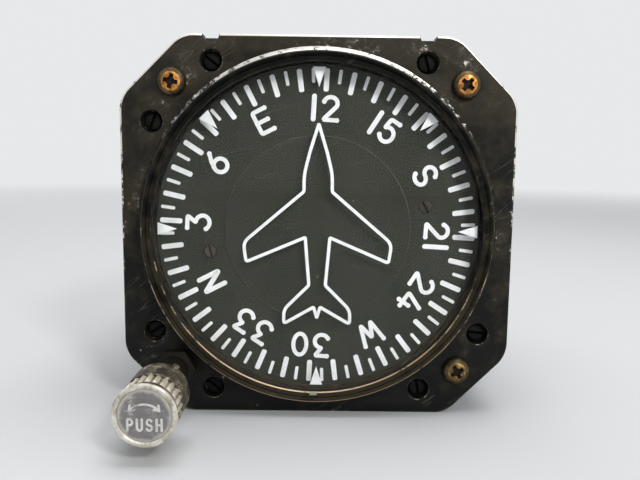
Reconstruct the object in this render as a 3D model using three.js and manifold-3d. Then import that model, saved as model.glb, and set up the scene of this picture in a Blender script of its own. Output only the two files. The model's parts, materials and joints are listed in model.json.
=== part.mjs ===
// Aircraft directional gyro, driven by air, for a round panel hole.
// Millimetres, +Z up. The dial faces -Y, so +Y runs from the knob to the rear ports.
// The origin lies under the middle of the instrument, on the surface that it stands on.
import * as THREE from "three";
import { mergeVertices } from "three/addons/utils/BufferGeometryUtils.js";
import Module from "manifold-3d";

const wasm = await Module();
wasm.setup();

// Clearances that every fit follows
const seatGap = 0.3; // round a piece in the bore that carries it
const runGap = 0.3; // round a shaft that turns or slides in its bore
const fixedGap = 0.1; // round a shaft in what is fixed on it
const cutOverrun = 1; // how far each cutting body runs past the faces that it cuts

// Steps round a circle, by its size
const largeSteps = 36;
const middleSteps = 20;
const smallSteps = 12;
const fineSteps = 8;
const arcSteps = 4; // along an outline's arc or eased corner

// Front flange and its rim. The flange's height sets the rim, the dial, the case and all that they hold.
const flangeHeight = 83.1;
const flangeExtraWidth = 2.6;
const flangeWidth = flangeHeight + flangeExtraWidth;
const flangeThick = 4.2;
const cornerRound = 5;
const notchRadius = 1.75;
const rimMargin = 2.45; // from the rim's root to the flange's top edge
const rimTaper = 1.2;
const rimWall = 0.95;
const rimLip = 0.2; // how far the rim stands ahead of the ring in it
const rimFillet = 1;
const shoulderWidth = 1.55;
const shoulderFront = 0.5; // how far the glass shoulder stands ahead of the flange's face
const shoulderBack = 0.9;
const wellWall = 2.1;
const rimRootRadius = flangeHeight / 2 - rimMargin;
const rimFrontRadius = rimRootRadius - rimTaper;
const rimBore = rimFrontRadius - rimWall;
const shoulderBore = rimBore - shoulderWidth;
const dialWellRadius = rimRootRadius - wellWall;

// Glass, its gasket and the split ring that holds them
const glassThick = 1.8;
const glassGasketThick = 0.4;
const glassGasketWidth = 1.05;
const glassGasketBore = rimBore - glassGasketWidth;
const retainerWidth = 1.35;
const retainerBore = rimBore - retainerWidth;
const retainerThick = 1.1;
const rimHeight = shoulderFront + glassGasketThick + glassThick + retainerThick + rimLip;
const retainerEdge = 0.35;
const retainerSplit = 1.8;
const retainerSplitSide = -0.6; // the split lies a little left of the middle

// Dial assembly
const dialSetback = 1.5; // dial face behind the flange's face
const dialEdgeGap = 0.6;
const dialRadius = dialWellRadius - dialEdgeGap;
const dialThick = 1.2;
const hubDiscRadius = 20.5;
const hubDiscThick = 0.25;
const dialScrewGap = 3.7; // from the hub disc's edge
const dialScrewRadius = hubDiscRadius + dialScrewGap; // from the dial's centre
const dialScrewAngle = 12.2; // degrees above and below the side axis
const dialScrewHead = 1.55;
const dialScrewHeadThick = 0.4;
const dialScrewShank = 0.8;
const hubPlateMargin = 2.8; // round the dial's screws
const hubPlateRadius = dialScrewRadius + hubPlateMargin;
const hubPlateThick = 1;
const hubTubeRadius = 4;
const dialShaftRadius = 1.5;
const dialShaftFrontShare = 0.5; // of the card's thickness, where the shaft's front end lies
const clipThick = 0.7;
const clipRim = 1.4;

// Screws of the flange, on the pattern that the photograph shows
const screwInset = 5.55; // from the flange's top edge
const screwRimGap = 3.674; // from the rim's root
const screwFar = flangeHeight / 2 - screwInset;
const screwNear = Math.sqrt((rimRootRadius + screwRimGap) ** 2 - screwFar ** 2);
const flangeScrewBore = 2.38;
const flangeScrewBoreDepth = 2.7;
const flangeScrewHeadGap = 0.38;
const flangeScrewHead = flangeScrewBore - flangeScrewHeadGap;
const flangeScrewHeadThick = 1.3;
const flangeScrewShank = 1.1;
const flangeScrewReach = 8; // into the housing
const slotWidth = 0.6;
const slotDepthShare = 0.6; // of the head's thickness

// Corner stations: three mounting screws, and the knob at the fourth
const stationRimGap = 5.35; // from the rim's root
const stationMargin = 5.755; // to the flange's cut corner
const knobPlace = rimRootRadius + stationRimGap;
const cornerStation = Math.SQRT1_2 * knobPlace;
const cornerCut = (flangeWidth + flangeHeight) / 2 - Math.SQRT2 * (knobPlace + stationMargin);
const quarterAngles = [0, 90, 180, 270];
const mountScrewHead = 3.1;
const mountScrewHeadThick = 1.9;
const mountScrewEdge = 0.5;
const mountScrewShank = 1.6;
const crossLength = 3.2;
const crossWidth = 0.75;
const crossDepth = 1.1;
const crossTurn = 30; // degrees
const mountScrewReach = 7.4; // into the housing

// Gears of the knob's drive. Their pitch radii add up to the knob's place.
const pinionTeeth = 8;
const idlerTeeth = 22;
const settingTeeth = 48;
const gearModule = (2 * knobPlace) / (settingTeeth + 2 * idlerTeeth + pinionTeeth);
const pinionPitch = (gearModule * pinionTeeth) / 2;
const idlerPitch = (gearModule * idlerTeeth) / 2;
const settingPitch = (gearModule * settingTeeth) / 2;
const gearThick = 2.5;
const toothTipShare = 0.85; // of the module, above the pitch circle
const toothRootShare = 1.15; // of the module, below the pitch circle
const tipWidthShares = 0.22; // of the pitch: the tooth at its tip, and next at its root
const rootWidthShares = 0.56;

// Housing behind the flange
const gasketThick = 0.6;
const bodyInset = 0.35;
const tubeWall = 1.8;
const ledgeWidth = 2.2;
const tubeRadius = flangeHeight / 2 - bodyInset;
const cavityFront = tubeRadius - tubeWall;
const cavityRear = cavityFront - ledgeWidth;
const settingBoss = 1.2; // of the setting gear, towards its bearing
const gearEndGap = 1.3; // behind the gears in their pocket
const pocketGap = 0.4;
const settingDepth = 4.2; // setting gear's face behind the housing's face
const pinionClear = 0.5;
const lugRadius = 2.4;
const lugInset = 0.8;
const lugPlace = cavityRear - lugInset;
const lugDepth = 4;
const spigotLength = 5;
const spigotGap = 0.3;

// Bridge plate, dial bearing and idler stud
const bridgeThick = 2.5;
const bridgeWindow = 7.5;
const bridgeRim = 7.9; // from the housing's wall to a window
const bridgeWindowPlace = cavityFront - bridgeRim - bridgeWindow;
const bridgeWindowAngles = [45, 135, 315];
const bearingWall = 1.8;
const bearingFlange = 1.3;
const bearingFlangeThick = 0.5;
const bearingFace = 0.3; // running gap beside the bearing's faces
const studRadius = 1.5;
const studHead = 2.6;
const studHeadThick = 0.7;
const studEndThick = 0.6;

// Bevel pair between the dial and the outer gimbal
const bevelTeeth = 24;
const bevelWallGap = 1.782; // from the corner between the two gears to the cavity's wall
const bevelRadius = (cavityFront - bevelWallGap) * Math.SQRT1_2;
const bevelFace = 2.1;
const bevelTip = 1.1;
const bevelRoot = 1.45;
const bevelHeelSetback = 5;
const bevelBack = 1.9;
const bevelWeb = 1.6;
const bevelRim = 1.4;
const bevelHubRadius = 5;

// Gimbals and rotor
const outerSideGap = 4;
const outerEndGap = 5.2;
const outerHalfWidth = bevelRadius - outerSideGap;
const outerHalfHeight = bevelRadius - outerEndGap;
const outerPost = 2.8;
const outerBar = 3.2;
const outerDepth = 5.6;
const sideBossRadius = 4.2;
const pivotRadius = 1.5;
const sidePivotRadius = 1.2;
const sideBearingWall = 1;
const gimbalGap = 1;
const innerHalfWidth = outerHalfWidth - outerPost - gimbalGap;
const innerSide = 2.1;
const innerBar = 3;
const innerHeight = 7;
const innerBossRadius = 5;
const innerBossLength = 3.7;
const rotorGap = 0.7;
const rotorRadius = innerHalfWidth - innerSide - rotorGap;
const rotorHalf = 6;
const rotorRimWidth = 5;
const rotorRimInner = rotorRadius - rotorRimWidth;
const rotorWebHalf = 1.6;
const rotorHubRadius = 3.6;
const rotorHubProud = 0.8;
const rotorEndGap = 1;
const rotorHubHalf = rotorHalf + rotorHubProud;
const innerBossReach = rotorHubHalf + rotorEndGap; // from the centre to the boss's inner face
const innerHalfDepth = innerBossReach + innerBossLength;
const rotorShaftRadius = 1.2;
const rotorBearingWall = 1.7;
const bucketCount = 12;
const bucketRadius = 2.2;
const bucketDepth = 1.3;
const bucketHalf = 1.8;
const weightRadius = 1.5;
const weightHeight = 2;
const nozzleRadius = 1.3;
const nozzleTip = 0.7;
const nozzleBore = 0.4;
const nozzleSideShare = 0.5; // of the rotor's radius
const nozzleSide = rotorRadius * nozzleSideShare;
const nozzleReach = 2.4;

// Frame that carries the gimbals, fixed to the rear cover
const framePlateThick = 2.5;
const framePlateGap = 0.5;
const frameWindow = 12;
const armHalfWidth = 6;
const armThick = 2.5;
const lowerArmGap = 4.4;
const upperArmGap = 3.6;
const lowerArmDrop = bevelRadius + lowerArmGap;
const upperArmRise = outerHalfHeight + upperArmGap;
const gimbalClear = 8.9; // from the outer gimbal's turn to the frame's plate

// Rear cover and what it carries
const rearGasketThick = 0.6;
const coverThick = 4;
const coverSpigotWall = 4.1;
const coverSpigotLength = 5;
const airHoleRadius = 2.6;
const airHolePlace = 9;
const airHoleCount = 6;
const filterRadius = 14;
const filterThick = 7;
const capWall = 1.5;
const capClear = 0.6;
const capSlots = 12;
const capSlotWidth = 2.4;
const capSlotLength = 5;
const filterScrewRadius = 1.5;
const filterScrewHead = 4;
const filterScrewHeadThick = 2.2;
const filterScrewBite = 2.3;
const portHex = 7;
const portCapGap = 3.4;
const portPlace = filterRadius + capClear + capWall + portCapGap + portHex;
const portHexThick = 4.5;
const portThread = 4.2;
const portBore = 2.6;
const nippleRadius = 3.7;
const nippleLength = 19;
const barbCount = 4;
const barbRise = 0.8;
const barbLength = 3.2;
const plugHex = 6;
const plugHexThick = 5;
const plugThread = 4;

// Knob, its shaft and what rides on it
const pushGap = 3.4; // left between the knob and its bushing when the knob is in
const knobTravel = 4;
const knobRadius = 6;
const knobRingProud = 0.15;
const knobRingRadius = knobRadius + knobRingProud;
const knobRingThick = 1;
const grooveDepth = 0.8;
const grooveRadius = knobRadius - grooveDepth;
const grooveWidth = 1;
const knurlWidth = 4.3;
const knurlDepth = 0.45;
const knurlRoot = knobRadius - knurlDepth;
const knurlTeeth = 24;
const barrelLength = 7.3;
const barrelEdge = 0.4;
const faceRecess = 0.9;
const faceDiscInset = 0.9;
const faceDiscRadius = knobRadius - faceDiscInset;
const faceDiscThick = 0.6;
const faceGap = 0.05;
const setScrewRadius = 0.75;
const setScrewProud = 0.8;
const setScrewPlace = 1.3; // ahead of the barrel's rear face
const setScrewAngle = 32; // degrees clockwise from the top
const setScrewTipGap = 0.3;
const shaftShare = 0.42182; // of the pinion's pitch radius
const knobShaftRadius = pinionPitch * shaftShare;
const shaftFrontWall = 1.4;
const neckStep = 0.3;
const shaftNeckRadius = knobShaftRadius - neckStep;
const bushingWall = 1.4;
const bushingNose = 8;
const bushingHexWidth = 1.5;
const bushingHexThick = 2.2;
const springWire = 0.6;
const springTurns = 5;
const springInnerGap = 0.3;
const springBoreGap = 0.35;
const springSeatDepth = 5.2; // spring pocket behind the gear pocket
const coilSteps = 8;
const wireSides = 5;
const springWall = 0.9;
const springEndGap = 0.1;
const armPlate = 1.2;
const armStepGap = 0.3;
const armEyeWall = 2.3;
const armWidth = 2.6;
const armFingerInset = 4.2;
const armFingerPlace = cavityRear - armFingerInset;
const fingerSize = 2.4;
const fingerClear = 0.9; // ahead of the gimbal gear when the knob is in
const armPocketGap = 0.6;
const armPocketOverlap = 3; // how far the arm's pocket runs into the main cavity
const shaftEndClear = 0.3;
const armPocketEndGap = 0.5;
const knobLength = knobRingThick + grooveWidth + knurlWidth + barrelLength;
const knobReach = knobLength + pushGap + knobTravel + bushingNose;

// Places along Y that follow from the sizes above
const gasketFace = flangeThick;
const housingFront = gasketFace + gasketThick;
const settingFront = housingFront + settingDepth;
const settingBack = settingFront + gearThick;
const settingBossBack = settingBack + settingBoss;
const bridgeFront = settingBossBack + bearingFace + bearingFlangeThick;
const ledgeFront = bridgeFront + bridgeThick;
const gearPocketBack = settingBack + gearEndGap;
const pinionFront = housingFront + pinionClear;
const pinionBack = pinionFront + gearThick;
const dialBack = dialSetback + dialThick;
const hubPlateBack = dialBack + hubPlateThick;
const bevelHeel = ledgeFront + bevelHeelSetback;
const gimbalY = bevelHeel + bevelRadius;
const framePlateFront = gimbalY + outerHalfWidth + gimbalClear;
const coverSpigotFront = framePlateFront + framePlateThick;
const coverFront = coverSpigotFront + coverSpigotLength;
const coverBack = coverFront + coverThick;
const tubeBack = coverFront - rearGasketThick;
const knobFront = -knobReach;
const knurlFront = knobFront + knobRingThick + grooveWidth;
const barrelFront = knurlFront + knurlWidth;
const knobBack = barrelFront + barrelLength;
const springSeat = gearPocketBack + springSeatDepth;
const armFront = springSeat + springWall + armStepGap;
const armBack = armFront + armPlate;
const knobClipBack = armBack + clipThick;
const knobShaftBack = knobClipBack + shaftEndClear;
const housingBack = knobShaftBack + knobTravel + armPocketEndGap + springWall;
const portBack = coverBack + portHexThick + nippleLength;
const glassBack = -shoulderFront - glassGasketThick;
const glassFront = glassBack - glassThick;
const flangeScrewHoleBack = housingFront + flangeScrewReach + seatGap;
const mountHoleBack = housingFront + mountScrewReach + seatGap;
const armPocketFront = springSeat + springWall;
const armPocketBack = housingBack - springWall;
const capBack = coverBack + filterThick + 2 * capClear + capWall;
const shaftFront = knobFront + faceRecess + shaftFrontWall;
const dialShaftFront = dialSetback + dialThick * dialShaftFrontShare;
const bevelBackY = -bevelRadius - bevelRoot * Math.SQRT1_2 - bevelBack; // from the cones' apex
const bevelWebY = bevelBackY + bevelWeb;
const dialClipFront = gimbalY + bevelWebY;
const dialShaftBack = dialClipFront + clipThick + shaftEndClear;

// Radii that follow from the sizes above
const tubeBore = cavityFront;
const spigotRadius = tubeBore - spigotGap;
const bridgeRadius = cavityFront - seatGap;
const bearingRadius = dialShaftRadius + runGap + bearingWall;
const framePlateRadius = tubeBore - framePlateGap;
const coverRadius = flangeHeight / 2;
const coverSpigotBore = spigotRadius - coverSpigotWall;
const pivotBearingRadius = pivotRadius + runGap + bearingWall;
const sideBearingRadius = sidePivotRadius + runGap + sideBearingWall;
const rotorBearingRadius = rotorShaftRadius + runGap + rotorBearingWall;
const rotorBore = rotorShaftRadius + seatGap;
const bushingThread = knobShaftRadius + runGap + bushingWall;
const bushingHex = bushingThread + bushingHexWidth;
const armEye = shaftNeckRadius + runGap + armEyeWall;
const springPocket = knobShaftRadius + springInnerGap + springWire + springBoreGap;

// Gear places in the plane of the dial
const contactAngle = 225; // degrees from +X towards +Z, from the dial's centre to the knob
const knobX = -Math.SQRT1_2 * knobPlace;
const knobZ = -Math.SQRT1_2 * knobPlace;
const idlerX = -Math.SQRT1_2 * (settingPitch + idlerPitch);
const idlerZ = -Math.SQRT1_2 * (settingPitch + idlerPitch);
const idlerPocket = idlerPitch + gearModule + pocketGap;
const pinionPocket = pinionPitch + gearModule + pocketGap;

// The caging arm's finger stops short of the gimbal gear when the knob is in
const gearTipRadius = bevelRadius + bevelTip * Math.SQRT1_2;
const fingerSide = armFingerPlace * Math.SQRT1_2;
const gearNearY = gimbalY - Math.sqrt(gearTipRadius ** 2 - fingerSide ** 2);
const fingerBack = gearNearY - fingerClear - knobTravel;

// Finishes
const finish = {
  blackPaint: new THREE.MeshStandardMaterial({ color: 0x2b2925, roughness: 0.55, metalness: 0.1 }),
  castAluminium: new THREE.MeshStandardMaterial({ color: 0x8d8c86, roughness: 0.5, metalness: 0.8 }),
  steel: new THREE.MeshStandardMaterial({ color: 0x9a9a98, roughness: 0.3, metalness: 0.9 }),
  brass: new THREE.MeshStandardMaterial({ color: 0xb07a3a, roughness: 0.35, metalness: 0.9 }),
  goldScrew: new THREE.MeshStandardMaterial({ color: 0x9a6430, roughness: 0.4, metalness: 0.8 }),
  dialBlack: new THREE.MeshStandardMaterial({ color: 0x2a2a25, roughness: 0.8, metalness: 0 }),
  glass: new THREE.MeshStandardMaterial({ color: 0xdfe8e6, roughness: 0.05, transparent: true, opacity: 0.3 }),
  rubber: new THREE.MeshStandardMaterial({ color: 0x1b1b1b, roughness: 0.9, metalness: 0 }),
  knobMetal: new THREE.MeshStandardMaterial({ color: 0xb7ad9a, roughness: 0.4, metalness: 0.7 }),
  knobFace: new THREE.MeshStandardMaterial({ color: 0x6f6c6c, roughness: 0.5, metalness: 0.3 }),
  filterFelt: new THREE.MeshStandardMaterial({ color: 0xb9a982, roughness: 0.95, metalness: 0 }),
};

// Solids

function merged(geometry) {
  const bare = geometry.index ? geometry.toNonIndexed() : geometry.clone();
  bare.deleteAttribute("normal");
  bare.deleteAttribute("uv");
  return mergeVertices(bare);
}

function toSolid(geometry) {
  const shape = merged(geometry);
  const data = { numProp: 3, vertProperties: shape.attributes.position.array };
  data.triVerts = new Uint32Array(shape.index.array);
  return new wasm.Manifold(new wasm.Mesh(data));
}

// A closed body with its faces turned to point outwards
function outward(geometry) {
  const shape = merged(geometry);
  if (toSolid(geometry).volume() < 0) {
    const order = shape.index.array;
    for (let corner = 0; corner < order.length; corner += 3) {
      [order[corner + 1], order[corner + 2]] = [order[corner + 2], order[corner + 1]];
    }
  }
  return shape.toNonIndexed();
}

function toGeometry(solid) {
  const mesh = solid.getMesh();
  const geometry = new THREE.BufferGeometry();
  geometry.setAttribute("position", new THREE.BufferAttribute(mesh.vertProperties, 3));
  geometry.setIndex(new THREE.BufferAttribute(mesh.triVerts, 1));
  const flat = geometry.toNonIndexed();
  flat.computeVertexNormals();
  return flat;
}

function joined(...geometries) {
  return toGeometry(geometries.map(toSolid).reduce((whole, piece) => whole.add(piece)));
}

function cut(geometry, ...tools) {
  return toGeometry(tools.map(toSolid).reduce((whole, tool) => whole.subtract(tool), toSolid(geometry)));
}

// A body turned round the Y axis. The profile's points are [radius, y], and it closes on itself.
function turned(profile, steps = largeSteps) {
  const turn = (point, index) => {
    const next = profile[(index + 1) % profile.length];
    return point[0] * next[1] - next[0] * point[1];
  };
  const area = profile.map(turn).reduce((sum, part) => sum + part, 0);
  const ordered = area > 0 ? profile : [...profile].reverse();
  const points = [...ordered, ordered[0]].map(([radius, y]) => new THREE.Vector2(radius, y));
  return new THREE.LatheGeometry(points, steps);
}

// A round bar with square ends, along Y
function bar(radius, front, back, steps = fineSteps) {
  return new THREE.CylinderGeometry(radius, radius, back - front, steps).translate(0, (front + back) / 2, 0);
}

// A tube along Y
function ring(bore, radius, front, back, steps = middleSteps) {
  return turned([[bore, front], [radius, front], [radius, back], [bore, back]], steps);
}

// A flat outline in x and z, given its thickness along Y
function plate(shape, front, back) {
  const settings = { depth: back - front, bevelEnabled: false, curveSegments: arcSteps };
  return new THREE.ExtrudeGeometry(shape, settings).rotateX(Math.PI / 2).translate(0, back, 0);
}

// A flat outline in x and y, given its thickness along Z
function slab(shape, bottom, top) {
  const settings = { depth: top - bottom, bevelEnabled: false, curveSegments: arcSteps };
  return new THREE.ExtrudeGeometry(shape, settings).translate(0, 0, bottom);
}

function circlePoints(x, y, radius, steps) {
  return Array.from({ length: steps }, (_, step) => {
    const [right, up] = polar(radius, (360 / steps) * step);
    return new THREE.Vector2(x + right, y + up);
  });
}

function circlePath(x, y, radius, steps = fineSteps) {
  return new THREE.Path(circlePoints(x, y, radius, steps));
}

function circleShape(radius, steps = largeSteps) {
  return new THREE.Shape(circlePoints(0, 0, radius, steps));
}

function rectangle(halfWidth, halfHeight) {
  const corners = [[-1, -1], [1, -1], [1, 1], [-1, 1]];
  return new THREE.Shape(corners.map(([x, y]) => new THREE.Vector2(x * halfWidth, y * halfHeight)));
}

// A body moved from the Y axis to a place in the plane of the dial
function at(geometry, x, z) {
  return geometry.translate(x, 0, z);
}

// A place in the plane of the dial, by radius and degrees from +X towards +Z
function polar(radius, degrees) {
  const angle = THREE.MathUtils.degToRad(degrees);
  return [radius * Math.cos(angle), radius * Math.sin(angle)];
}

function hexagon(radius) {
  const corners = Array.from({ length: 6 }, (_, side) => new THREE.Vector2(...polar(radius, 60 * side)));
  return new THREE.Shape(corners);
}

const root = new THREE.Group();
const instrument = new THREE.Group();
instrument.position.set(0, -(knobFront + portBack) / 2, flangeHeight / 2);
root.add(instrument);

const knobAxis = new THREE.Group();
knobAxis.position.set(knobX, 0, knobZ);
instrument.add(knobAxis);

const gimbalCentre = new THREE.Group();
gimbalCentre.position.set(0, gimbalY, 0);
instrument.add(gimbalCentre);

function addPiece(name, geometry, material, carrier = instrument) {
  const mesh = new THREE.Mesh(geometry, material);
  mesh.name = name;
  carrier.add(mesh);
}

// Like pieces, numbered from 1 in their names
function addPieces(name, geometries, material, carrier = instrument) {
  geometries.forEach((geometry, index) => addPiece(`${name}_${index + 1}`, geometry, material, carrier));
}

// Outline of the flange and of what lies behind it: an octagon with eased corners
function octagon(inset, notched) {
  const halfWidth = flangeWidth / 2 - inset;
  const halfHeight = flangeHeight / 2 - inset;
  const ease = cornerRound / 2;
  const corners = [
    [halfWidth - cornerCut, -halfHeight],
    [halfWidth, -halfHeight + cornerCut],
    [halfWidth, halfHeight - cornerCut],
    [halfWidth - cornerCut, halfHeight],
    [-halfWidth + cornerCut, halfHeight],
    [-halfWidth, halfHeight - cornerCut],
    [-halfWidth, -halfHeight + cornerCut],
    [-halfWidth + cornerCut, -halfHeight],
  ].map(([x, z]) => new THREE.Vector2(x, z));
  const shape = new THREE.Shape();
  corners.forEach((corner, index) => {
    const before = corners[(index + corners.length - 1) % corners.length];
    const after = corners[(index + 1) % corners.length];
    const start = corner.clone().add(before.clone().sub(corner).setLength(ease));
    const end = corner.clone().add(after.clone().sub(corner).setLength(ease));
    if (index === 0) shape.moveTo(start.x, start.y);
    else shape.lineTo(start.x, start.y);
    shape.quadraticCurveTo(corner.x, corner.y, end.x, end.y);
    if (notched && index === 3) {
      shape.absarc(screwNear, halfHeight, notchRadius, 0, Math.PI, true);
      shape.absarc(-screwNear, halfHeight, notchRadius, 0, Math.PI, true);
    }
  });
  return shape;
}

const flangeScrewPlaces = [
  [-screwNear, screwFar],
  [screwNear, screwFar],
  [-screwFar, screwNear],
  [-screwFar, -screwNear],
  [screwFar, -screwNear],
  [-screwNear, -screwFar],
  [screwNear, -screwFar],
];
const mountPlaces = [
  [-cornerStation, cornerStation],
  [cornerStation, cornerStation],
  [cornerStation, -cornerStation],
];

// Screws, with the head's front at y = -headThick and its seat at y = 0

function slottedScrew(head, headThick, shank, reach) {
  const body = joined(
    bar(head, -headThick, 0, smallSteps),
    bar(shank, -headThick / 2, reach),
  );
  const slot = new THREE.BoxGeometry(2 * head + cutOverrun, 2 * headThick * slotDepthShare, slotWidth);
  return cut(body, slot.translate(0, -headThick, 0));
}

function crossScrew() {
  const edge = mountScrewHead - mountScrewEdge;
  const front = -mountScrewHeadThick;
  const head = turned(
    [[0, front], [edge, front], [mountScrewHead, front + mountScrewEdge], [mountScrewHead, 0], [0, 0]],
    middleSteps,
  );
  const body = joined(head, bar(mountScrewShank, front / 2, housingFront + mountScrewReach));
  const blade = () => new THREE.BoxGeometry(crossLength, 2 * crossDepth, crossWidth);
  const tilt = THREE.MathUtils.degToRad(crossTurn);
  return cut(
    body,
    blade().translate(0, front, 0).rotateY(tilt),
    blade().translate(0, front, 0).rotateY(tilt + Math.PI / 2),
  );
}

function makeFlangeScrew([x, z]) {
  const reach = housingFront + flangeScrewReach - flangeScrewBoreDepth;
  const body = slottedScrew(flangeScrewHead, flangeScrewHeadThick, flangeScrewShank, reach);
  return at(body.translate(0, flangeScrewBoreDepth, 0), x, z);
}

// Flange, rim and glass

function makeFlange() {
  const shape = octagon(0, true);
  shape.holes.push(circlePath(0, 0, dialWellRadius, largeSteps));
  for (const [x, z] of flangeScrewPlaces) shape.holes.push(circlePath(x, z, flangeScrewShank + seatGap));
  for (const [x, z] of mountPlaces) shape.holes.push(circlePath(x, z, mountScrewShank + seatGap));
  shape.holes.push(circlePath(knobX, knobZ, bushingThread + seatGap));
  const rim = turned([
    [rimRootRadius, flangeThick / 2],
    [rimRootRadius, 0],
    [rimFrontRadius + rimFillet / 3, -rimFillet / 2],
    [rimFrontRadius, -rimFillet],
    [rimFrontRadius, -rimHeight],
    [rimBore, -rimHeight],
    [rimBore, -shoulderFront],
    [shoulderBore, -shoulderFront],
    [shoulderBore, shoulderBack],
    [dialWellRadius, shoulderBack],
    [dialWellRadius, flangeThick / 2],
  ]);
  const bores = flangeScrewPlaces.map(([x, z]) =>
    at(bar(flangeScrewBore, -cutOverrun, flangeScrewBoreDepth, smallSteps), x, z));
  return cut(joined(plate(shape, 0, flangeThick), rim), ...bores);
}

function makeRetainer() {
  const front = glassFront - retainerThick;
  const body = turned([
    [retainerBore, glassFront],
    [rimBore - faceGap, glassFront],
    [rimBore - faceGap, front + retainerEdge],
    [rimBore - faceGap - retainerEdge, front],
    [retainerBore + retainerEdge, front],
    [retainerBore, front + retainerEdge],
  ]);
  const width = rimBore - retainerBore + cutOverrun;
  const split = new THREE.BoxGeometry(retainerSplit, 2 * (retainerThick + cutOverrun), width);
  return cut(body, split.translate(retainerSplitSide, front, -(rimBore + retainerBore) / 2));
}

// Dial assembly

const dialScrewPlaces = [0, 180].map((turn) => polar(dialScrewRadius, dialScrewAngle + turn));

function dialHole(path) {
  for (const [x, z] of dialScrewPlaces) path.holes.push(circlePath(x, z, dialScrewShank + seatGap));
  path.holes.push(circlePath(0, 0, dialShaftRadius + seatGap, smallSteps));
  return path;
}

function makeDialHub() {
  const back = plate(dialHole(circleShape(hubPlateRadius, middleSteps)), dialBack, hubPlateBack);
  const tube = ring(dialShaftRadius + seatGap, hubTubeRadius, hubPlateBack, settingFront, smallSteps);
  return joined(back, tube);
}

function makeDialScrew([x, z]) {
  const body = slottedScrew(dialScrewHead, dialScrewHeadThick, dialScrewShank, dialThick + hubPlateThick);
  return at(body.translate(0, dialSetback, 0), x, z);
}

// A spur gear's outline, with the middle of one tooth at the given angle
function gearOutline(teeth, pitchRadius, boreRadius, toothAngle) {
  const tip = pitchRadius + gearModule * toothTipShare;
  const root = pitchRadius - gearModule * toothRootShare;
  const pitch = 360 / teeth;
  const points = [];
  for (let tooth = 0; tooth < teeth; tooth += 1) {
    const middle = toothAngle + pitch * tooth;
    points.push(polar(root, middle - (pitch * rootWidthShares) / 2));
    points.push(polar(tip, middle - (pitch * tipWidthShares) / 2));
    points.push(polar(tip, middle + (pitch * tipWidthShares) / 2));
    points.push(polar(root, middle + (pitch * rootWidthShares) / 2));
  }
  const shape = new THREE.Shape(points.map(([x, z]) => new THREE.Vector2(x, z)));
  shape.holes.push(circlePath(0, 0, boreRadius, smallSteps));
  return shape;
}

function makeSettingGear() {
  const outline = gearOutline(settingTeeth, settingPitch, dialShaftRadius + seatGap, contactAngle);
  for (const turn of [0, 90, 180, 270]) {
    outline.holes.push(circlePath(...polar(settingPitch / 2, turn), settingPitch / 4));
  }
  const boss = ring(dialShaftRadius + seatGap, hubTubeRadius, settingBack, settingBossBack, smallSteps);
  return joined(plate(outline, settingFront, settingBack), boss);
}

function makeIdler() {
  const outline = gearOutline(idlerTeeth, idlerPitch, studRadius + runGap, contactAngle + 180 / idlerTeeth);
  return at(plate(outline, settingFront, settingBack), idlerX, idlerZ);
}

function makePinion() {
  const outline = gearOutline(pinionTeeth, pinionPitch, knobShaftRadius + fixedGap, contactAngle + 180);
  return plate(outline, pinionFront, pinionBack);
}

// A bevel gear round the Y axis, whose cone has its apex at the gimbals' centre
function bevelGear(toothAngle, boreRadius, hubFront, hubBack) {
  const heel = bevelRadius;
  const shrink = 1 - bevelFace / bevelRadius;
  const lift = Math.SQRT1_2;
  const rootPoint = [heel - bevelRoot * lift, -heel - bevelRoot * lift];
  const tipPoint = [heel + bevelTip * lift, -heel + bevelTip * lift];
  const backY = bevelBackY;
  const webBack = backY + bevelWeb;
  const innerRadius = rootPoint[0] * shrink - bevelRim;
  const pitch = 360 / bevelTeeth;
  const widths = [-rootWidthShares, -tipWidthShares, tipWidthShares, rootWidthShares];
  const angles = [];
  for (let tooth = 0; tooth < bevelTeeth; tooth += 1) {
    for (const share of widths) angles.push(toothAngle + pitch * tooth + (pitch * share) / 2);
  }
  const plain = (radius, y) => angles.map((angle) => [...polar(radius, angle), y]);
  const toothed = (scale) => angles.map((angle, index) => {
    const [radius, y] = index % 4 === 0 || index % 4 === 3 ? rootPoint : tipPoint;
    return [...polar(radius * scale, angle), y * scale];
  });
  const rings = [
    plain(innerRadius, backY),
    plain(rootPoint[0] - bevelRoot / 2, backY),
    toothed(1),
    toothed(shrink),
    plain(innerRadius, webBack),
  ];
  const positions = [];
  const push = ([x, z, y]) => positions.push(x, y, z);
  rings.forEach((loop, index) => {
    const next = rings[(index + 1) % rings.length];
    loop.forEach((point, step) => {
      const after = (step + 1) % loop.length;
      push(point);
      push(loop[after]);
      push(next[step]);
      push(loop[after]);
      push(next[after]);
      push(next[step]);
    });
  });
  const teeth = new THREE.BufferGeometry();
  teeth.setAttribute("position", new THREE.Float32BufferAttribute(positions, 3));
  return joined(
    outward(teeth),
    ring(bevelHubRadius - seatGap, innerRadius + bevelRim / 2, backY, webBack, middleSteps),
    ring(boreRadius, bevelHubRadius, hubFront, hubBack, smallSteps),
  );
}

// The gimbal's gear meets the dial's gear at the front of its turn, with a gap between two teeth there
function makeGimbalGear() {
  const gapAngle = 90 + 180 / bevelTeeth;
  return bevelGear(gapAngle, pivotRadius + seatGap, bevelBackY, -outerHalfHeight).rotateX(Math.PI / 2);
}

function makeClip(shaftRadius, front) {
  return ring(shaftRadius + fixedGap, shaftRadius + clipRim, front, front + clipThick, smallSteps);
}

// Housing, case and rear cover

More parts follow.
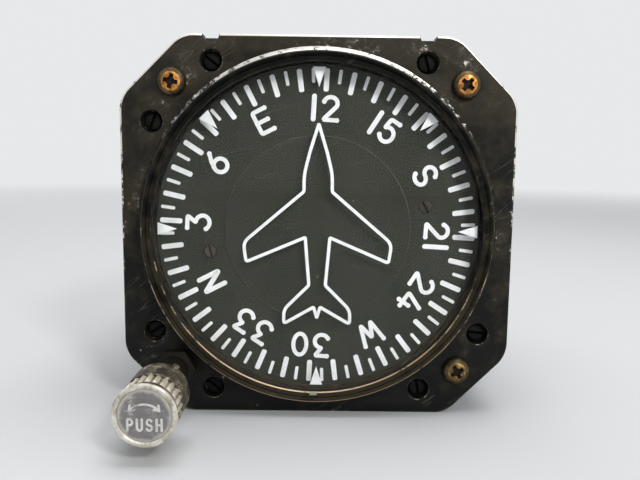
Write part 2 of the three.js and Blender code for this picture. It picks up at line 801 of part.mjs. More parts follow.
function makeHousing() {
  const body = plate(octagon(bodyInset, false), housingFront, housingBack);
  const spigotBack = housingBack + spigotLength;
  const spigot = ring(cavityRear, spigotRadius, housingBack - cutOverrun, spigotBack, largeSteps);
  const holes = [
    bar(cavityFront, housingFront - cutOverrun, ledgeFront, largeSteps),
    bar(cavityRear, housingFront, spigotBack + cutOverrun, largeSteps),
    at(bar(idlerPocket, housingFront - cutOverrun, gearPocketBack, smallSteps), idlerX, idlerZ),
    at(bar(pinionPocket, housingFront - cutOverrun, gearPocketBack, smallSteps), knobX, knobZ),
    at(bar(springPocket, housingFront, springSeat, smallSteps), knobX, knobZ),
    at(bar(knobShaftRadius + runGap, housingFront, armPocketBack, smallSteps), knobX, knobZ),
    armPocket(),
  ];
  for (const [x, z] of flangeScrewPlaces) {
    holes.push(at(bar(flangeScrewShank + seatGap, housingFront - cutOverrun, flangeScrewHoleBack), x, z));
  }
  for (const [x, z] of mountPlaces) {
    holes.push(at(bar(mountScrewShank + seatGap, housingFront - cutOverrun, mountHoleBack), x, z));
  }
  const lugs = quarterAngles.map((degrees) =>
    at(bar(lugRadius, ledgeFront, ledgeFront + lugDepth), ...polar(lugPlace, degrees)));
  return joined(cut(joined(body, spigot), ...holes), ...lugs);
}

// Room for the caging arm, open to the main cavity
function armPocket() {
  const inner = cavityRear - armPocketOverlap;
  const outer = knobPlace + armEye + armPocketGap;
  const depth = armPocketBack - armPocketFront;
  const width = 2 * (armEye + armPocketGap);
  return new THREE.BoxGeometry(outer - inner, depth, width)
    .translate((inner + outer) / 2, (armPocketFront + armPocketBack) / 2, 0)
    .rotateY(-THREE.MathUtils.degToRad(contactAngle));
}

function makeFlangeGasket() {
  const shape = octagon(bodyInset, false);
  shape.holes.push(circlePath(0, 0, cavityFront, largeSteps));
  for (const [x, z] of flangeScrewPlaces) shape.holes.push(circlePath(x, z, flangeScrewShank + seatGap));
  for (const [x, z] of mountPlaces) shape.holes.push(circlePath(x, z, mountScrewShank + seatGap));
  const knobHole = at(bar(pinionPocket, gasketFace - cutOverrun, housingFront + cutOverrun), knobX, knobZ);
  return cut(plate(shape, gasketFace, housingFront), knobHole);
}

function makeRearCover() {
  const disc = plate(coverShape(), coverFront, coverBack);
  const spigot = ring(coverSpigotBore, spigotRadius, coverSpigotFront, coverFront + cutOverrun, largeSteps);
  const hole = (radius, z) => at(bar(radius, coverSpigotFront - cutOverrun, coverBack + cutOverrun), 0, z);
  const whole = joined(disc, spigot);
  return cut(whole, hole(portThread + seatGap, portPlace), hole(plugThread + seatGap, -portPlace));
}

function coverShape() {
  const shape = circleShape(coverRadius);
  for (let hole = 0; hole < airHoleCount; hole += 1) {
    shape.holes.push(circlePath(...polar(airHolePlace, (360 / airHoleCount) * hole), airHoleRadius));
  }
  shape.holes.push(circlePath(0, 0, filterScrewRadius + seatGap));
  return shape;
}

function makeFilterCap() {
  const outer = filterRadius + capClear + capWall;
  const body = turned([
    [filterRadius + capClear, coverBack],
    [outer, coverBack],
    [outer, capBack - capWall],
    [outer - capWall, capBack],
    [filterScrewRadius + seatGap, capBack],
    [filterScrewRadius + seatGap, capBack - capWall],
    [filterRadius + capClear, capBack - capWall],
  ], middleSteps);
  const slots = Array.from({ length: capSlots }, (_, index) =>
    new THREE.BoxGeometry(2 * capWall + cutOverrun, capSlotLength, capSlotWidth)
      .translate(outer - capWall / 2, (coverBack + capBack - capWall) / 2, 0)
      .rotateY((2 * Math.PI * index) / capSlots));
  return cut(body, ...slots);
}

function makeFilterScrew() {
  return joined(
    plate(hexagon(filterScrewHead), capBack, capBack + filterScrewHeadThick),
    bar(filterScrewRadius, coverBack - filterScrewBite, capBack),
  );
}

function makeVacuumPort() {
  const nippleFront = coverBack + portHexThick;
  const firstBarb = portBack - barbCount * barbLength - barbRise;
  const profile = [[0, nippleFront - cutOverrun], [nippleRadius, nippleFront - cutOverrun]];
  profile.push([nippleRadius, firstBarb]);
  for (let barb = 0; barb < barbCount; barb += 1) {
    const start = firstBarb + barb * barbLength;
    profile.push([nippleRadius + barbRise, start], [nippleRadius, start + barbLength]);
  }
  profile.push([nippleRadius - barbRise / 2, portBack], [0, portBack]);
  const body = joined(
    plate(hexagon(portHex), coverBack, nippleFront),
    bar(portThread, coverFront, coverBack),
    turned(profile, smallSteps),
  );
  return at(cut(body, bar(portBore, coverFront - cutOverrun, portBack + cutOverrun)), 0, portPlace);
}

function makePortPlug() {
  const body = joined(
    plate(hexagon(plugHex), coverBack, coverBack + plugHexThick),
    bar(plugThread, coverFront, coverBack),
  );
  return at(body, 0, -portPlace);
}

// Bridge plate and its fasteners

function makeBridge() {
  const shape = circleShape(bridgeRadius);
  shape.holes.push(circlePath(0, 0, bearingRadius + seatGap, smallSteps));
  shape.holes.push(circlePath(idlerX, idlerZ, studRadius + seatGap, smallSteps));
  for (const degrees of bridgeWindowAngles) {
    shape.holes.push(circlePath(...polar(bridgeWindowPlace, degrees), bridgeWindow));
  }
  return plate(shape, bridgeFront, ledgeFront);
}

function makeDialBearing() {
  const bore = dialShaftRadius + runGap;
  return turned([
    [bore, bridgeFront - bearingFlangeThick],
    [bearingRadius + bearingFlange, bridgeFront - bearingFlangeThick],
    [bearingRadius + bearingFlange, bridgeFront],
    [bearingRadius, bridgeFront],
    [bearingRadius, ledgeFront],
    [bore, ledgeFront],
  ], smallSteps);
}

function makeIdlerStud() {
  const headBack = settingFront - bearingFace;
  return at(turned([
    [0, headBack - studHeadThick],
    [studHead, headBack - studHeadThick],
    [studHead, headBack],
    [studRadius, headBack],
    [studRadius, ledgeFront],
    [studHead, ledgeFront],
    [studHead, ledgeFront + studEndThick],
    [0, ledgeFront + studEndThick],
  ], smallSteps), idlerX, idlerZ);
}

// Frame that carries the gimbals, about their centre

function makeSupportFrame() {
  const plateFront = framePlateFront - gimbalY;
  const plateBack = coverSpigotFront - gimbalY;
  const disc = circleShape(framePlateRadius);
  disc.holes.push(circlePath(0, 0, frameWindow, middleSteps));
  const arm = new THREE.Shape();
  arm.moveTo(-armHalfWidth, plateBack);
  arm.absarc(0, 0, armHalfWidth, Math.PI, 2 * Math.PI, false);
  arm.lineTo(armHalfWidth, plateBack);
  arm.closePath();
  arm.holes.push(circlePath(0, 0, pivotBearingRadius + seatGap));
  return joined(
    plate(disc, plateFront, plateBack),
    slab(arm, -lowerArmDrop - armThick, -lowerArmDrop),
    slab(arm, upperArmRise, upperArmRise + armThick),
  );
}

function uprightRing(bore, radius, bottom, top, steps = fineSteps) {
  return ring(bore, radius, bottom, top, steps).rotateX(Math.PI / 2);
}

function uprightBar(radius, bottom, top, steps = fineSteps) {
  return bar(radius, bottom, top, steps).rotateX(Math.PI / 2);
}

function sideBar(radius, left, right, steps = fineSteps) {
  return bar(radius, left, right, steps).rotateZ(-Math.PI / 2);
}

function outerBearing(bottom) {
  return uprightRing(pivotRadius + runGap, pivotBearingRadius, bottom, bottom + armThick);
}

function makeOuterGimbal() {
  const shape = rectangle(outerHalfWidth, outerHalfHeight);
  shape.holes.push(rectangle(outerHalfWidth - outerPost, outerHalfHeight - outerBar));
  const frame = plate(shape, -outerDepth / 2, outerDepth / 2);
  const inner = outerHalfWidth - outerPost;
  const bosses = [
    sideBar(sideBossRadius, inner, outerHalfWidth, smallSteps),
    sideBar(sideBossRadius, -outerHalfWidth, -inner, smallSteps),
  ];
  const through = outerHalfWidth + cutOverrun;
  const body = cut(
    joined(frame, ...bosses),
    sideBar(sideBearingRadius + seatGap, -through, through),
    uprightBar(nozzleBore + seatGap, -outerHalfHeight - cutOverrun, 0).translate(nozzleSide, 0, 0),
  );
  const foot = outerHalfHeight - outerBar;
  return joined(
    body,
    uprightBar(pivotRadius, -lowerArmDrop - armThick, -foot),
    uprightBar(pivotRadius, foot, upperArmRise + armThick),
  );
}

// A bearing in the right side of the outer gimbal
function sideBearing() {
  const inner = outerHalfWidth - outerPost;
  return ring(sidePivotRadius + runGap, sideBearingRadius, inner, outerHalfWidth, fineSteps).rotateZ(-Math.PI / 2);
}

function makeNozzle() {
  const foot = -(outerHalfHeight - outerBar);
  const body = turned([
    [nozzleBore, foot],
    [nozzleRadius, foot],
    [nozzleTip, foot + nozzleReach],
    [nozzleBore, foot + nozzleReach],
  ], smallSteps);
  return body.rotateX(Math.PI / 2).translate(nozzleSide, 0, 0);
}

function makeInnerGimbal() {
  const shape = rectangle(innerHalfWidth, innerHalfDepth);
  shape.holes.push(rectangle(innerHalfWidth - innerSide, innerHalfDepth - innerBar));
  const frame = slab(shape, -innerHeight / 2, innerHeight / 2);
  const bosses = [
    bar(innerBossRadius, innerBossReach, innerHalfDepth, smallSteps),
    bar(innerBossRadius, -innerHalfDepth, -innerBossReach, smallSteps),
  ];
  const along = innerHalfDepth + cutOverrun;
  const pivotFoot = innerHalfWidth - innerSide;
  return joined(
    cut(joined(frame, ...bosses), bar(rotorBearingRadius + seatGap, -along, along)),
    sideBar(sidePivotRadius, pivotFoot, outerHalfWidth),
    sideBar(sidePivotRadius, -outerHalfWidth, -pivotFoot),
    ...balanceWeights(),
  );
}

function balanceWeights() {
  const x = innerHalfWidth - innerSide - weightRadius;
  const y = innerHalfDepth - innerBar / 2;
  const places = [[x, y], [-x, y], [x, -y], [-x, -y]];
  const bottom = -innerHeight / 2;
  return places.map(([side, along]) =>
    uprightBar(weightRadius, bottom - weightHeight, bottom + weightHeight).translate(side, along, 0));
}

function rotorBearing(front) {
  return ring(rotorShaftRadius + runGap, rotorBearingRadius, front, front + innerHalfDepth - innerBossReach,
    fineSteps);
}

function makeRotor() {
  const body = turned([
    [rotorBore, -rotorHubHalf],
    [rotorHubRadius, -rotorHubHalf],
    [rotorHubRadius, -rotorWebHalf],
    [rotorRimInner, -rotorWebHalf],
    [rotorRimInner, -rotorHalf],
    [rotorRadius, -rotorHalf],
    [rotorRadius, rotorHalf],
    [rotorRimInner, rotorHalf],
    [rotorRimInner, rotorWebHalf],
    [rotorHubRadius, rotorWebHalf],
    [rotorHubRadius, rotorHubHalf],
    [rotorBore, rotorHubHalf],
  ], middleSteps);
  const buckets = Array.from({ length: bucketCount }, (_, index) =>
    at(bar(bucketRadius, -bucketHalf, bucketHalf), ...polar(
      rotorRadius - bucketDepth + bucketRadius,
      (360 / bucketCount) * index,
    )));
  return cut(body, ...buckets);
}

// Knob and what rides on its shaft, about the knob's axis

function makeKnob() {
  const pitch = 360 / knurlTeeth;
  const outline = Array.from({ length: 2 * knurlTeeth }, (_, step) =>
    polar(step % 2 === 0 ? knobRadius : knurlRoot, (pitch * step) / 2));
  const ridges = new THREE.Shape(outline.map(([x, z]) => new THREE.Vector2(x, z)));
  const knurl = plate(ridges, knurlFront, barrelFront);
  const front = turned([
    [0, knobFront + faceRecess],
    [faceDiscRadius + faceGap, knobFront + faceRecess],
    [faceDiscRadius + faceGap, knobFront],
    [knobRingRadius, knobFront],
    [knobRingRadius, knobFront + knobRingThick],
    [grooveRadius, knobFront + knobRingThick],
    [grooveRadius, knurlFront],
    [0, knurlFront],
  ], middleSteps);
  const barrel = turned([
    [0, barrelFront],
    [knobRadius, barrelFront],
    [knobRadius, knobBack - barrelEdge],
    [knobRadius - barrelEdge, knobBack],
    [0, knobBack],
  ], middleSteps);
  const bore = bar(knobShaftRadius + fixedGap, shaftFront - fixedGap, knobBack + cutOverrun, smallSteps);
  const screwHole = setScrewBody(setScrewRadius + fixedGap, 0, knobRadius + cutOverrun);
  return cut(joined(knurl, front, barrel), bore, screwHole);
}

function setScrewBody(radius, inner, outer) {
  return sideBar(radius, inner, outer)
    .translate(0, knobBack - setScrewPlace, 0)
    .rotateY(THREE.MathUtils.degToRad(setScrewAngle - 90));
}

function makeShaft() {
  return turned([
    [0, shaftFront],
    [knobShaftRadius, shaftFront],
    [knobShaftRadius, armFront],
    [shaftNeckRadius, armFront],
    [shaftNeckRadius, knobShaftBack],
    [0, knobShaftBack],
  ], smallSteps);
}

function makeBushing() {
  const nose = ring(knobShaftRadius + runGap, bushingThread, -bushingNose, flangeThick, smallSteps);
  const collar = hexagon(bushingHex);
  collar.holes.push(circlePath(0, 0, knobShaftRadius + runGap, smallSteps));
  return joined(nose, plate(collar, -bushingHexThick, 0));
}

// The return spring: one unbroken wire from the pinion to the bottom of its pocket
function makeSpring() {
  const wire = springWire / 2;
  const coil = knobShaftRadius + springInnerGap + wire;
  const start = pinionBack + wire + springEndGap;
  const rise = springSeat - springEndGap - wire - start;
  const rings = springTurns * coilSteps + 1;
  const centre = (step) => {
    const share = step / (rings - 1);
    const angle = 2 * Math.PI * springTurns * share;
    return new THREE.Vector3(coil * Math.cos(angle), start + rise * share, coil * Math.sin(angle));
  };
  const leastGap = rise / springTurns - springWire;
  console.log(`knob spring: least gap between its turns ${leastGap.toFixed(2)} mm`);
  const positions = [];
  const section = (step) => {
    const middle = centre(step);
    const out = new THREE.Vector3(middle.x, 0, middle.z).normalize();
    const up = new THREE.Vector3(0, 1, 0);
    return Array.from({ length: wireSides }, (_, side) => {
      const angle = (2 * Math.PI * side) / wireSides;
      const offset = out.clone().multiplyScalar(wire * Math.cos(angle));
      return middle.clone().add(offset).addScaledVector(up, wire * Math.sin(angle));
    });
  };
  const triangle = (a, b, c) => positions.push(...a.toArray(), ...b.toArray(), ...c.toArray());
  for (let step = 0; step < rings - 1; step += 1) {
    const here = section(step);
    const there = section(step + 1);
    here.forEach((point, side) => {
      const next = (side + 1) % wireSides;
      triangle(point, here[next], there[side]);
      triangle(here[next], there[next], there[side]);
    });
  }
  const first = section(0);
  const last = section(rings - 1);
  for (let side = 1; side < wireSides - 1; side += 1) {
    triangle(first[0], first[side + 1], first[side]);
    triangle(last[0], last[side], last[side + 1]);
  }
  const geometry = new THREE.BufferGeometry();
  geometry.setAttribute("position", new THREE.Float32BufferAttribute(positions, 3));
  return outward(geometry);
}

// The caging arm: an eye round the shaft, and a finger that reaches back beside the gimbal gear
function makeCagingArm() {
  const angle = THREE.MathUtils.degToRad(contactAngle);
  const inward = knobPlace - armFingerPlace;
  const eye = circleShape(armEye, smallSteps);
  eye.holes.push(circlePath(0, 0, shaftNeckRadius + runGap, smallSteps));
  const bladeLength = inward - shaftNeckRadius - runGap + fingerSize / 2;
  const blade = new THREE.BoxGeometry(bladeLength, armPlate, armWidth)
    .translate(-(shaftNeckRadius + runGap + bladeLength / 2), (armFront + armBack) / 2, 0)
    .rotateY(-angle);
  const finger = new THREE.BoxGeometry(fingerSize, fingerBack - armFront, fingerSize)
    .translate(-inward, (armFront + fingerBack) / 2, 0)
    .rotateY(-angle);
  return joined(plate(eye, armFront, armBack), blade, finger);
}

function makeGlassStack() {
  addPiece("front_flange", makeFlange(), finish.blackPaint);
  addPiece("glass_gasket", ring(glassGasketBore, rimBore - seatGap, glassBack, -shoulderFront, largeSteps),
    finish.rubber);
  addPiece("cover_glass", bar(rimBore - seatGap, glassFront, glassBack, largeSteps), finish.glass);
  addPiece("glass_retaining_ring", makeRetainer(), finish.blackPaint);
}

function makeDialAssembly() {
  addPiece("dial_card", plate(dialHole(circleShape(dialRadius)), dialSetback, dialBack),
    finish.dialBlack);
  const hubDisc = plate(circleShape(hubDiscRadius, middleSteps), dialSetback - hubDiscThick, dialSetback);
  addPiece("dial_hub_disc", hubDisc, finish.dialBlack);
  addPieces("dial_screw", dialScrewPlaces.map(makeDialScrew), finish.blackPaint);
  addPiece("dial_hub", makeDialHub(), finish.castAluminium);
  addPiece("dial_setting_gear", makeSettingGear(), finish.brass);
  addPiece("dial_shaft", bar(dialShaftRadius, dialShaftFront, dialShaftBack, smallSteps), finish.steel);
  const bevel = bevelGear(270, dialShaftRadius + seatGap, ledgeFront + bearingFace - gimbalY, bevelWebY);
  addPiece("dial_bevel_gear", bevel.translate(0, gimbalY, 0), finish.brass);
  addPiece("dial_shaft_clip", makeClip(dialShaftRadius, dialClipFront), finish.steel);
}

function makeFrontBody() {
  addPiece("flange_gasket", makeFlangeGasket(), finish.rubber);
  addPiece("front_housing", makeHousing(), finish.blackPaint);
  addPieces("flange_screw", flangeScrewPlaces.map(makeFlangeScrew), finish.steel);
  addPieces("mounting_screw", mountPlaces.map(([x, z]) => at(crossScrew(), x, z)), finish.goldScrew);
  addPiece("bridge_plate", makeBridge(), finish.castAluminium);
  addPiece("dial_bearing", makeDialBearing(), finish.brass);
  addPiece("idler_stud", makeIdlerStud(), finish.steel);
  addPiece("idler_gear", makeIdler(), finish.brass);
}

function makeGimbals() {
  addPiece("gimbal_support_frame", makeSupportFrame(), finish.castAluminium, gimbalCentre);
  addPieces("outer_gimbal_bearing", [-lowerArmDrop - armThick, upperArmRise].map(outerBearing), finish.steel,
    gimbalCentre);
  addPiece("outer_gimbal", makeOuterGimbal(), finish.castAluminium, gimbalCentre);
  addPiece("gimbal_bevel_gear", makeGimbalGear(), finish.brass, gimbalCentre);
  const sideBearings = [sideBearing(), sideBearing().rotateZ(Math.PI)];
  addPieces("inner_gimbal_bearing", sideBearings, finish.steel, gimbalCentre);
  addPiece("air_nozzle", makeNozzle(), finish.brass, gimbalCentre);
  addPiece("inner_gimbal", makeInnerGimbal(), finish.castAluminium, gimbalCentre);
  addPieces("rotor_bearing", [-innerHalfDepth, innerBossReach].map(rotorBearing), finish.steel, gimbalCentre);
  addPiece("rotor", makeRotor(), finish.brass, gimbalCentre);
  addPiece("rotor_shaft", bar(rotorShaftRadius, -innerHalfDepth, innerHalfDepth), finish.steel, gimbalCentre);
}

function makeCase() {
  addPiece("case_tube", ring(tubeBore, tubeRadius, housingBack, tubeBack, largeSteps), finish.blackPaint);
  addPiece("rear_gasket", ring(tubeBore, tubeRadius, tubeBack, coverFront, largeSteps), finish.rubber);
  addPiece("rear_cover", makeRearCover(), finish.blackPaint);
  addPiece("air_filter_element", ring(filterScrewRadius + seatGap, filterRadius, coverBack,
    coverBack + filterThick, middleSteps), finish.filterFelt);
  addPiece("filter_cap", makeFilterCap(), finish.blackPaint);
  addPiece("filter_screw", makeFilterScrew(), finish.steel);
  addPiece("vacuum_port", makeVacuumPort(), finish.castAluminium);
  addPiece("port_plug", makePortPlug(), finish.castAluminium);
}

function makeKnobDrive() {
  addPiece("knob_body", makeKnob(), finish.knobMetal, knobAxis);
  addPiece("knob_face_disc", bar(faceDiscRadius, knobFront + faceRecess - faceDiscThick, knobFront + faceRecess,
    middleSteps), finish.knobFace, knobAxis);
  addPiece("knob_set_screw", setScrewBody(setScrewRadius, knobShaftRadius + setScrewTipGap,
    knobRadius + setScrewProud), finish.steel, knobAxis);
  addPiece("knob_shaft", makeShaft(), finish.steel, knobAxis);
  addPiece("knob_bushing", makeBushing(), finish.brass, knobAxis);
  addPiece("knob_pinion", makePinion(), finish.brass, knobAxis);
  addPiece("knob_spring", makeSpring(), finish.steel, knobAxis);
  addPiece("caging_arm", makeCagingArm(), finish.steel, knobAxis);
  addPiece("shaft_clip", makeClip(shaftNeckRadius, armBack), finish.steel, knobAxis);
}

makeGlassStack();
makeDialAssembly();
makeFrontBody();
makeKnobDrive();
makeGimbals();
makeCase();

export default root;
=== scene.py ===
"""The looks of an air-driven directional gyro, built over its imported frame. Metres, +Z up, the dial faces -Y."""

import json
import math

import bmesh
import bpy
from mathutils import Matrix, Vector

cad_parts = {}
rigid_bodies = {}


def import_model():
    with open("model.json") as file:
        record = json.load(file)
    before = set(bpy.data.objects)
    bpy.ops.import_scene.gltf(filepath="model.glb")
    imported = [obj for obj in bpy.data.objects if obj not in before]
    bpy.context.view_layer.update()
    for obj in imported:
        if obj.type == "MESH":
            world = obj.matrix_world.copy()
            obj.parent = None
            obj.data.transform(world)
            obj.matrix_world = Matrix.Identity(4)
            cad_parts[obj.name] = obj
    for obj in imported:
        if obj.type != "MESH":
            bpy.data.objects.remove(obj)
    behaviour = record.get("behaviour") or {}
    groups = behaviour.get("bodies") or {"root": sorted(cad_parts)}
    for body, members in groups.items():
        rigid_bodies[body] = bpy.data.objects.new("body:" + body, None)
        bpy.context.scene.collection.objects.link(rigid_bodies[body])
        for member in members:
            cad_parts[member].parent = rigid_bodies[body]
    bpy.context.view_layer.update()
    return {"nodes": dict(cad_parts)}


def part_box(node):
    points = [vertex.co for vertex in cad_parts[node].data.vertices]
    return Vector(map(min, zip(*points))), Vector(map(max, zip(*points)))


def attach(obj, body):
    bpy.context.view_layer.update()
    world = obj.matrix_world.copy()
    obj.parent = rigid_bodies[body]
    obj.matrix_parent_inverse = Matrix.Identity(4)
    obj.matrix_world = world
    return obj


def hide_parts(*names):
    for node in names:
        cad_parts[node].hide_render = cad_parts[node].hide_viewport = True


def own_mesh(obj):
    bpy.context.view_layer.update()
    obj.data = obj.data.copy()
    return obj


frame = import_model()

MM = 0.001


def measure(node):
    """A node's front and back in y, its radius across, and its middle in x and z."""
    low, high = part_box(node)
    return low[1], high[1], (high[0] - low[0]) / 2, ((low[0] + high[0]) / 2, (low[2] + high[2]) / 2)


def front_of(node):
    return measure(node)[0]


def back_of(node):
    return measure(node)[1]


def middle_of(node):
    return measure(node)[3]


# Sizes of the front
FLANGE_THICK = 4.2 * MM
FLANGE_ROUND = 0.45 * MM  # along its front edges
FLANGE_BACK_ROUND = 0.25 * MM
CORNER_CUT = 13.4 * MM
CORNER_EASE = 2.5 * MM
RIM_HEIGHT = 4 * MM
RIM_RADIUS = 37.9 * MM
RIM_ROOT = 39.1 * MM
RIM_BORE = 36.95 * MM
SHOULDER_BORE = 35.4 * MM
SHOULDER_FRONT = 0.5 * MM
SHOULDER_BACK = 0.9 * MM
WELL_RADIUS = 37 * MM
NOTCH_RADIUS = 1.75 * MM
SCREW_NEAR = 23.1 * MM
SCREW_FAR = 36 * MM
SCREW_BORE = 2.38 * MM
SCREW_BORE_DEPTH = 2.7 * MM
HOLE_ROUND = 0.18 * MM
SCREW_TURN = 37  # degrees that each flange screw is turned past the one before it
CORNER_STATION = 31.43 * MM
MOUNT_TURNS = (12, 40, 62)  # degrees that the cross screws are turned
RETAINER_BORE = 35.6 * MM
RETAINER_OUTER = 36.9 * MM
RETAINER_THICK = 1.1 * MM
RETAINER_SPLIT = 1.8 * MM
SPLIT_PLACE = -0.6 * MM

# Places that the frame gives
FACE = front_of("flange_gasket") - FLANGE_THICK  # the flange's front face
MIDDLE = (0.0, middle_of("front_flange")[1])  # the instrument's axis, in x and z
KNOB = middle_of("knob_face_disc")  # the knob's axis
SCREW_PLACES = [(x, MIDDLE[1] + z) for x, z in (
    (-SCREW_NEAR, SCREW_FAR), (SCREW_NEAR, SCREW_FAR), (-SCREW_FAR, SCREW_NEAR), (-SCREW_FAR, -SCREW_NEAR),
    (SCREW_FAR, -SCREW_NEAR), (-SCREW_NEAR, -SCREW_FAR), (SCREW_NEAR, -SCREW_FAR),
)]
MOUNT_PLACES = [(x * CORNER_STATION, MIDDLE[1] + z * CORNER_STATION) for x, z in ((-1, 1), (1, 1), (1, -1))]

# Marks
MARK_THICK = 0.08 * MM
PAINT_GAP = 0.02 * MM  # between the glass and the marks painted on its inner face
INDEX_RADIUS = 34.8 * MM
INDEX_LENGTH = 4.2 * MM
INDEX_WIDTH = 2.75 * MM
INDEX_ANGLES = (0, 45, 90, 180, 270, 315)
TICK_OUTER = 34.8 * MM
LONG_TICK = (1.12 * MM, 4.9 * MM)
SHORT_TICK = (0.72 * MM, 3.1 * MM)
TICKS = 72
HEADING = 117.2  # degrees that the dial shows under its top mark
LABELS = ("N", "3", "6", "E", "12", "15", "S", "21", "24", "W", "30", "33")
LABEL_RADIUS = 26.35 * MM
LABEL_HEIGHT = 5.95 * MM
LABEL_STROKE = 1.05 * MM
LABEL_GAP = 0.75 * MM

# Half of the aeroplane's outline from its nose to the notch in its tail: x, z and the corner's round, in mm
AEROPLANE = (
    (0, 22.9, 0.3), (1.85, 16.9, 2.2), (3.05, 12.1, 1.8), (3.05, 8.4, 0.4), (16.2, -2.8, 1.5), (15.6, -7.1, 0.7),
    (2.7, -1.6, 0.3), (1.8, -12.2, 0.4), (7.3, -17.7, 1.3), (7.3, -20.9, 0.8), (0.72, -17.1, 0.3), (0, -19.5, 0.3),
)
AEROPLANE_STROKE = 0.8 * MM

# Knob
KNOB_RING = 6.15 * MM
KNOB_RADIUS = 6.0 * MM
KNOB_GROOVE = 5.2 * MM
KNURL_ROOT = 5.5 * MM
KNURL_RIDGES = 24
RING_THICK = 1 * MM
GROOVE_WIDTH = 1.8 * MM
KNURL_WIDTH = 3.5 * MM
FACE_RECESS = 0.9 * MM
FACE_RADIUS = 5.1 * MM
PUSH_HEIGHT = 2.6 * MM
PUSH_STROKE = 0.46 * MM
PUSH_GAP = 0.42 * MM
PUSH_DROP = 1.75 * MM  # below the knob's middle

LARGE = 144  # steps round the large circles
MEDIUM = 64
SMALL = 32


# Handling pieces

def deselect():
    if bpy.context.mode != "OBJECT":
        bpy.ops.object.mode_set(mode="OBJECT")
    bpy.ops.object.select_all(action="DESELECT")


def take(piece):
    deselect()
    piece.select_set(True)
    bpy.context.view_layer.objects.active = piece
    return piece


def edit(piece, kind="VERT", chosen="DESELECT"):
    take(piece)
    bpy.ops.object.mode_set(mode="EDIT")
    bpy.ops.mesh.select_mode(type=kind)
    bpy.ops.mesh.select_all(action=chosen)


def done(piece, name=None):
    take(piece)
    bpy.ops.object.transform_apply(location=True, rotation=True, scale=True)
    if name:
        piece.name = name
        piece.data.name = name
    return piece


def pick(piece, kind, parts, test):
    """Selects the corners, edges or faces that pass the test, in edit mode."""
    edit(piece, kind)
    for part in getattr(bmesh.from_edit_mesh(piece.data), parts):
        if test(part):
            part.select_set(True)
    bmesh.update_edit_mesh(piece.data)


def pick_faces(piece, test):
    pick(piece, "FACE", "faces", lambda face: test(face.calc_center_median(), face.normal))


def cut_edges(piece, width, segments, test, slot=-1):
    """Bevels the edges whose two ends pass the test. The cut may take one of the piece's materials."""
    pick(piece, "EDGE", "edges", lambda edge: test(edge.verts[0].co, edge.verts[1].co))
    bpy.ops.mesh.bevel(offset=width, segments=segments, affect="EDGES", material=slot)
    deselect()


def colour_faces(piece, slot, test):
    """Gives the faces that pass the test one of the piece's materials."""
    pick_faces(piece, test)
    piece.active_material_index = slot
    bpy.ops.object.material_slot_assign()
    deselect()


def narrow(piece, side, across, up):
    """Draws in a block's front face (side -1) or back face (side 1)."""
    pick_faces(piece, lambda spot, normal: side * normal.y > 0.9)
    bpy.ops.transform.resize(value=(across, 1, up))
    deselect()
    return piece


def merge(piece, gap=MM / 1000):
    """Joins the corners that meet. The piece stays open in edit mode."""
    edit(piece, chosen="SELECT")
    bpy.ops.mesh.remove_doubles(threshold=gap)


def block(name, size, centre):
    deselect()
    bpy.ops.mesh.primitive_cube_add(size=1, location=centre)
    piece = bpy.context.object
    piece.scale = size
    return done(piece, name)


def barrel(name, radius, front, back, centre=MIDDLE, steps=SMALL, turn=0.0):
    """A round bar along Y."""
    deselect()
    bpy.ops.mesh.primitive_cylinder_add(
        vertices=steps, radius=radius, depth=back - front,
        location=(centre[0], (front + back) / 2, centre[1]), rotation=(math.pi / 2, turn, 0))
    return done(bpy.context.object, name)


def line(name, points):
    """A row of joined edges through the points."""
    deselect()
    bpy.ops.mesh.primitive_plane_add(size=MM)
    piece = bpy.context.object
    piece.name = name
    edit(piece, chosen="SELECT")
    bpy.ops.mesh.merge(type="CENTER")
    bpy.ops.transform.translate(value=points[0])
    for here, there in zip(points, points[1:]):
        step = Vector(there) - Vector(here)
        bpy.ops.mesh.extrude_region_move(TRANSFORM_OT_translate={"value": step})
    deselect()
    return piece


def turned(name, profile, centre=MIDDLE, steps=LARGE, closed=True):
    """A body turned round an axis along Y. The profile's points are (radius, y)."""
    points = [(centre[0] + radius, y, centre[1]) for radius, y in profile]
    if closed:
        points.append(points[0])
    piece = line(name, points)
    edit(piece, chosen="SELECT")
    bpy.ops.mesh.spin(steps=steps, angle=2 * math.pi, center=(centre[0], 0, centre[1]), axis=(0, 1, 0))
    merge(piece)
    bpy.ops.mesh.normals_make_consistent(inside=False)
    return done(piece, name)


def join(name, pieces):
    deselect()
    for piece in pieces:
        piece.select_set(True)
    bpy.context.view_layer.objects.active = pieces[0]
    if len(pieces) > 1:
        bpy.ops.object.join()
    return done(pieces[0], name)


def copy_of(piece, name):
    take(piece)
    bpy.ops.object.duplicate(linked=False)
    double = bpy.context.object
    double.name = name
    return double


def copy_of_node(node):
    piece = copy_of(frame["nodes"][node], f"{node}_dressed")
    bpy.ops.object.parent_clear(type="CLEAR_KEEP_TRANSFORM")
    return piece


def moved(piece, x=0.0, y=0.0, z=0.0, turn=0.0):
    """Turns a piece clockwise as the viewer sees it, in degrees, round the Y axis, then moves it."""
    take(piece)
    piece.rotation_euler = (0, math.radians(turn), 0)
    bpy.ops.object.transform_apply(location=False, rotation=True, scale=False)
    piece.location = (x, y, z)
    return done(piece)


def tipped(piece, angle):
    """Turns a piece round the X axis."""
    take(piece)
    piece.rotation_euler = (math.radians(angle), 0, 0)
    return done(piece)


def carve(piece, *tools):
    """Cuts the tools out of a piece. The cut faces take the tool's materials, where it has any."""
    tool = join("tool", tools)
    take(piece)
    change = piece.modifiers.new("change", "BOOLEAN")
    change.operation = "DIFFERENCE"
    change.solver = "EXACT"
    change.material_mode = "TRANSFER" if tool.data.materials else "INDEX"
    change.object = tool
    bpy.ops.object.modifier_apply(modifier=change.name)
    bpy.data.objects.remove(tool)
    return piece


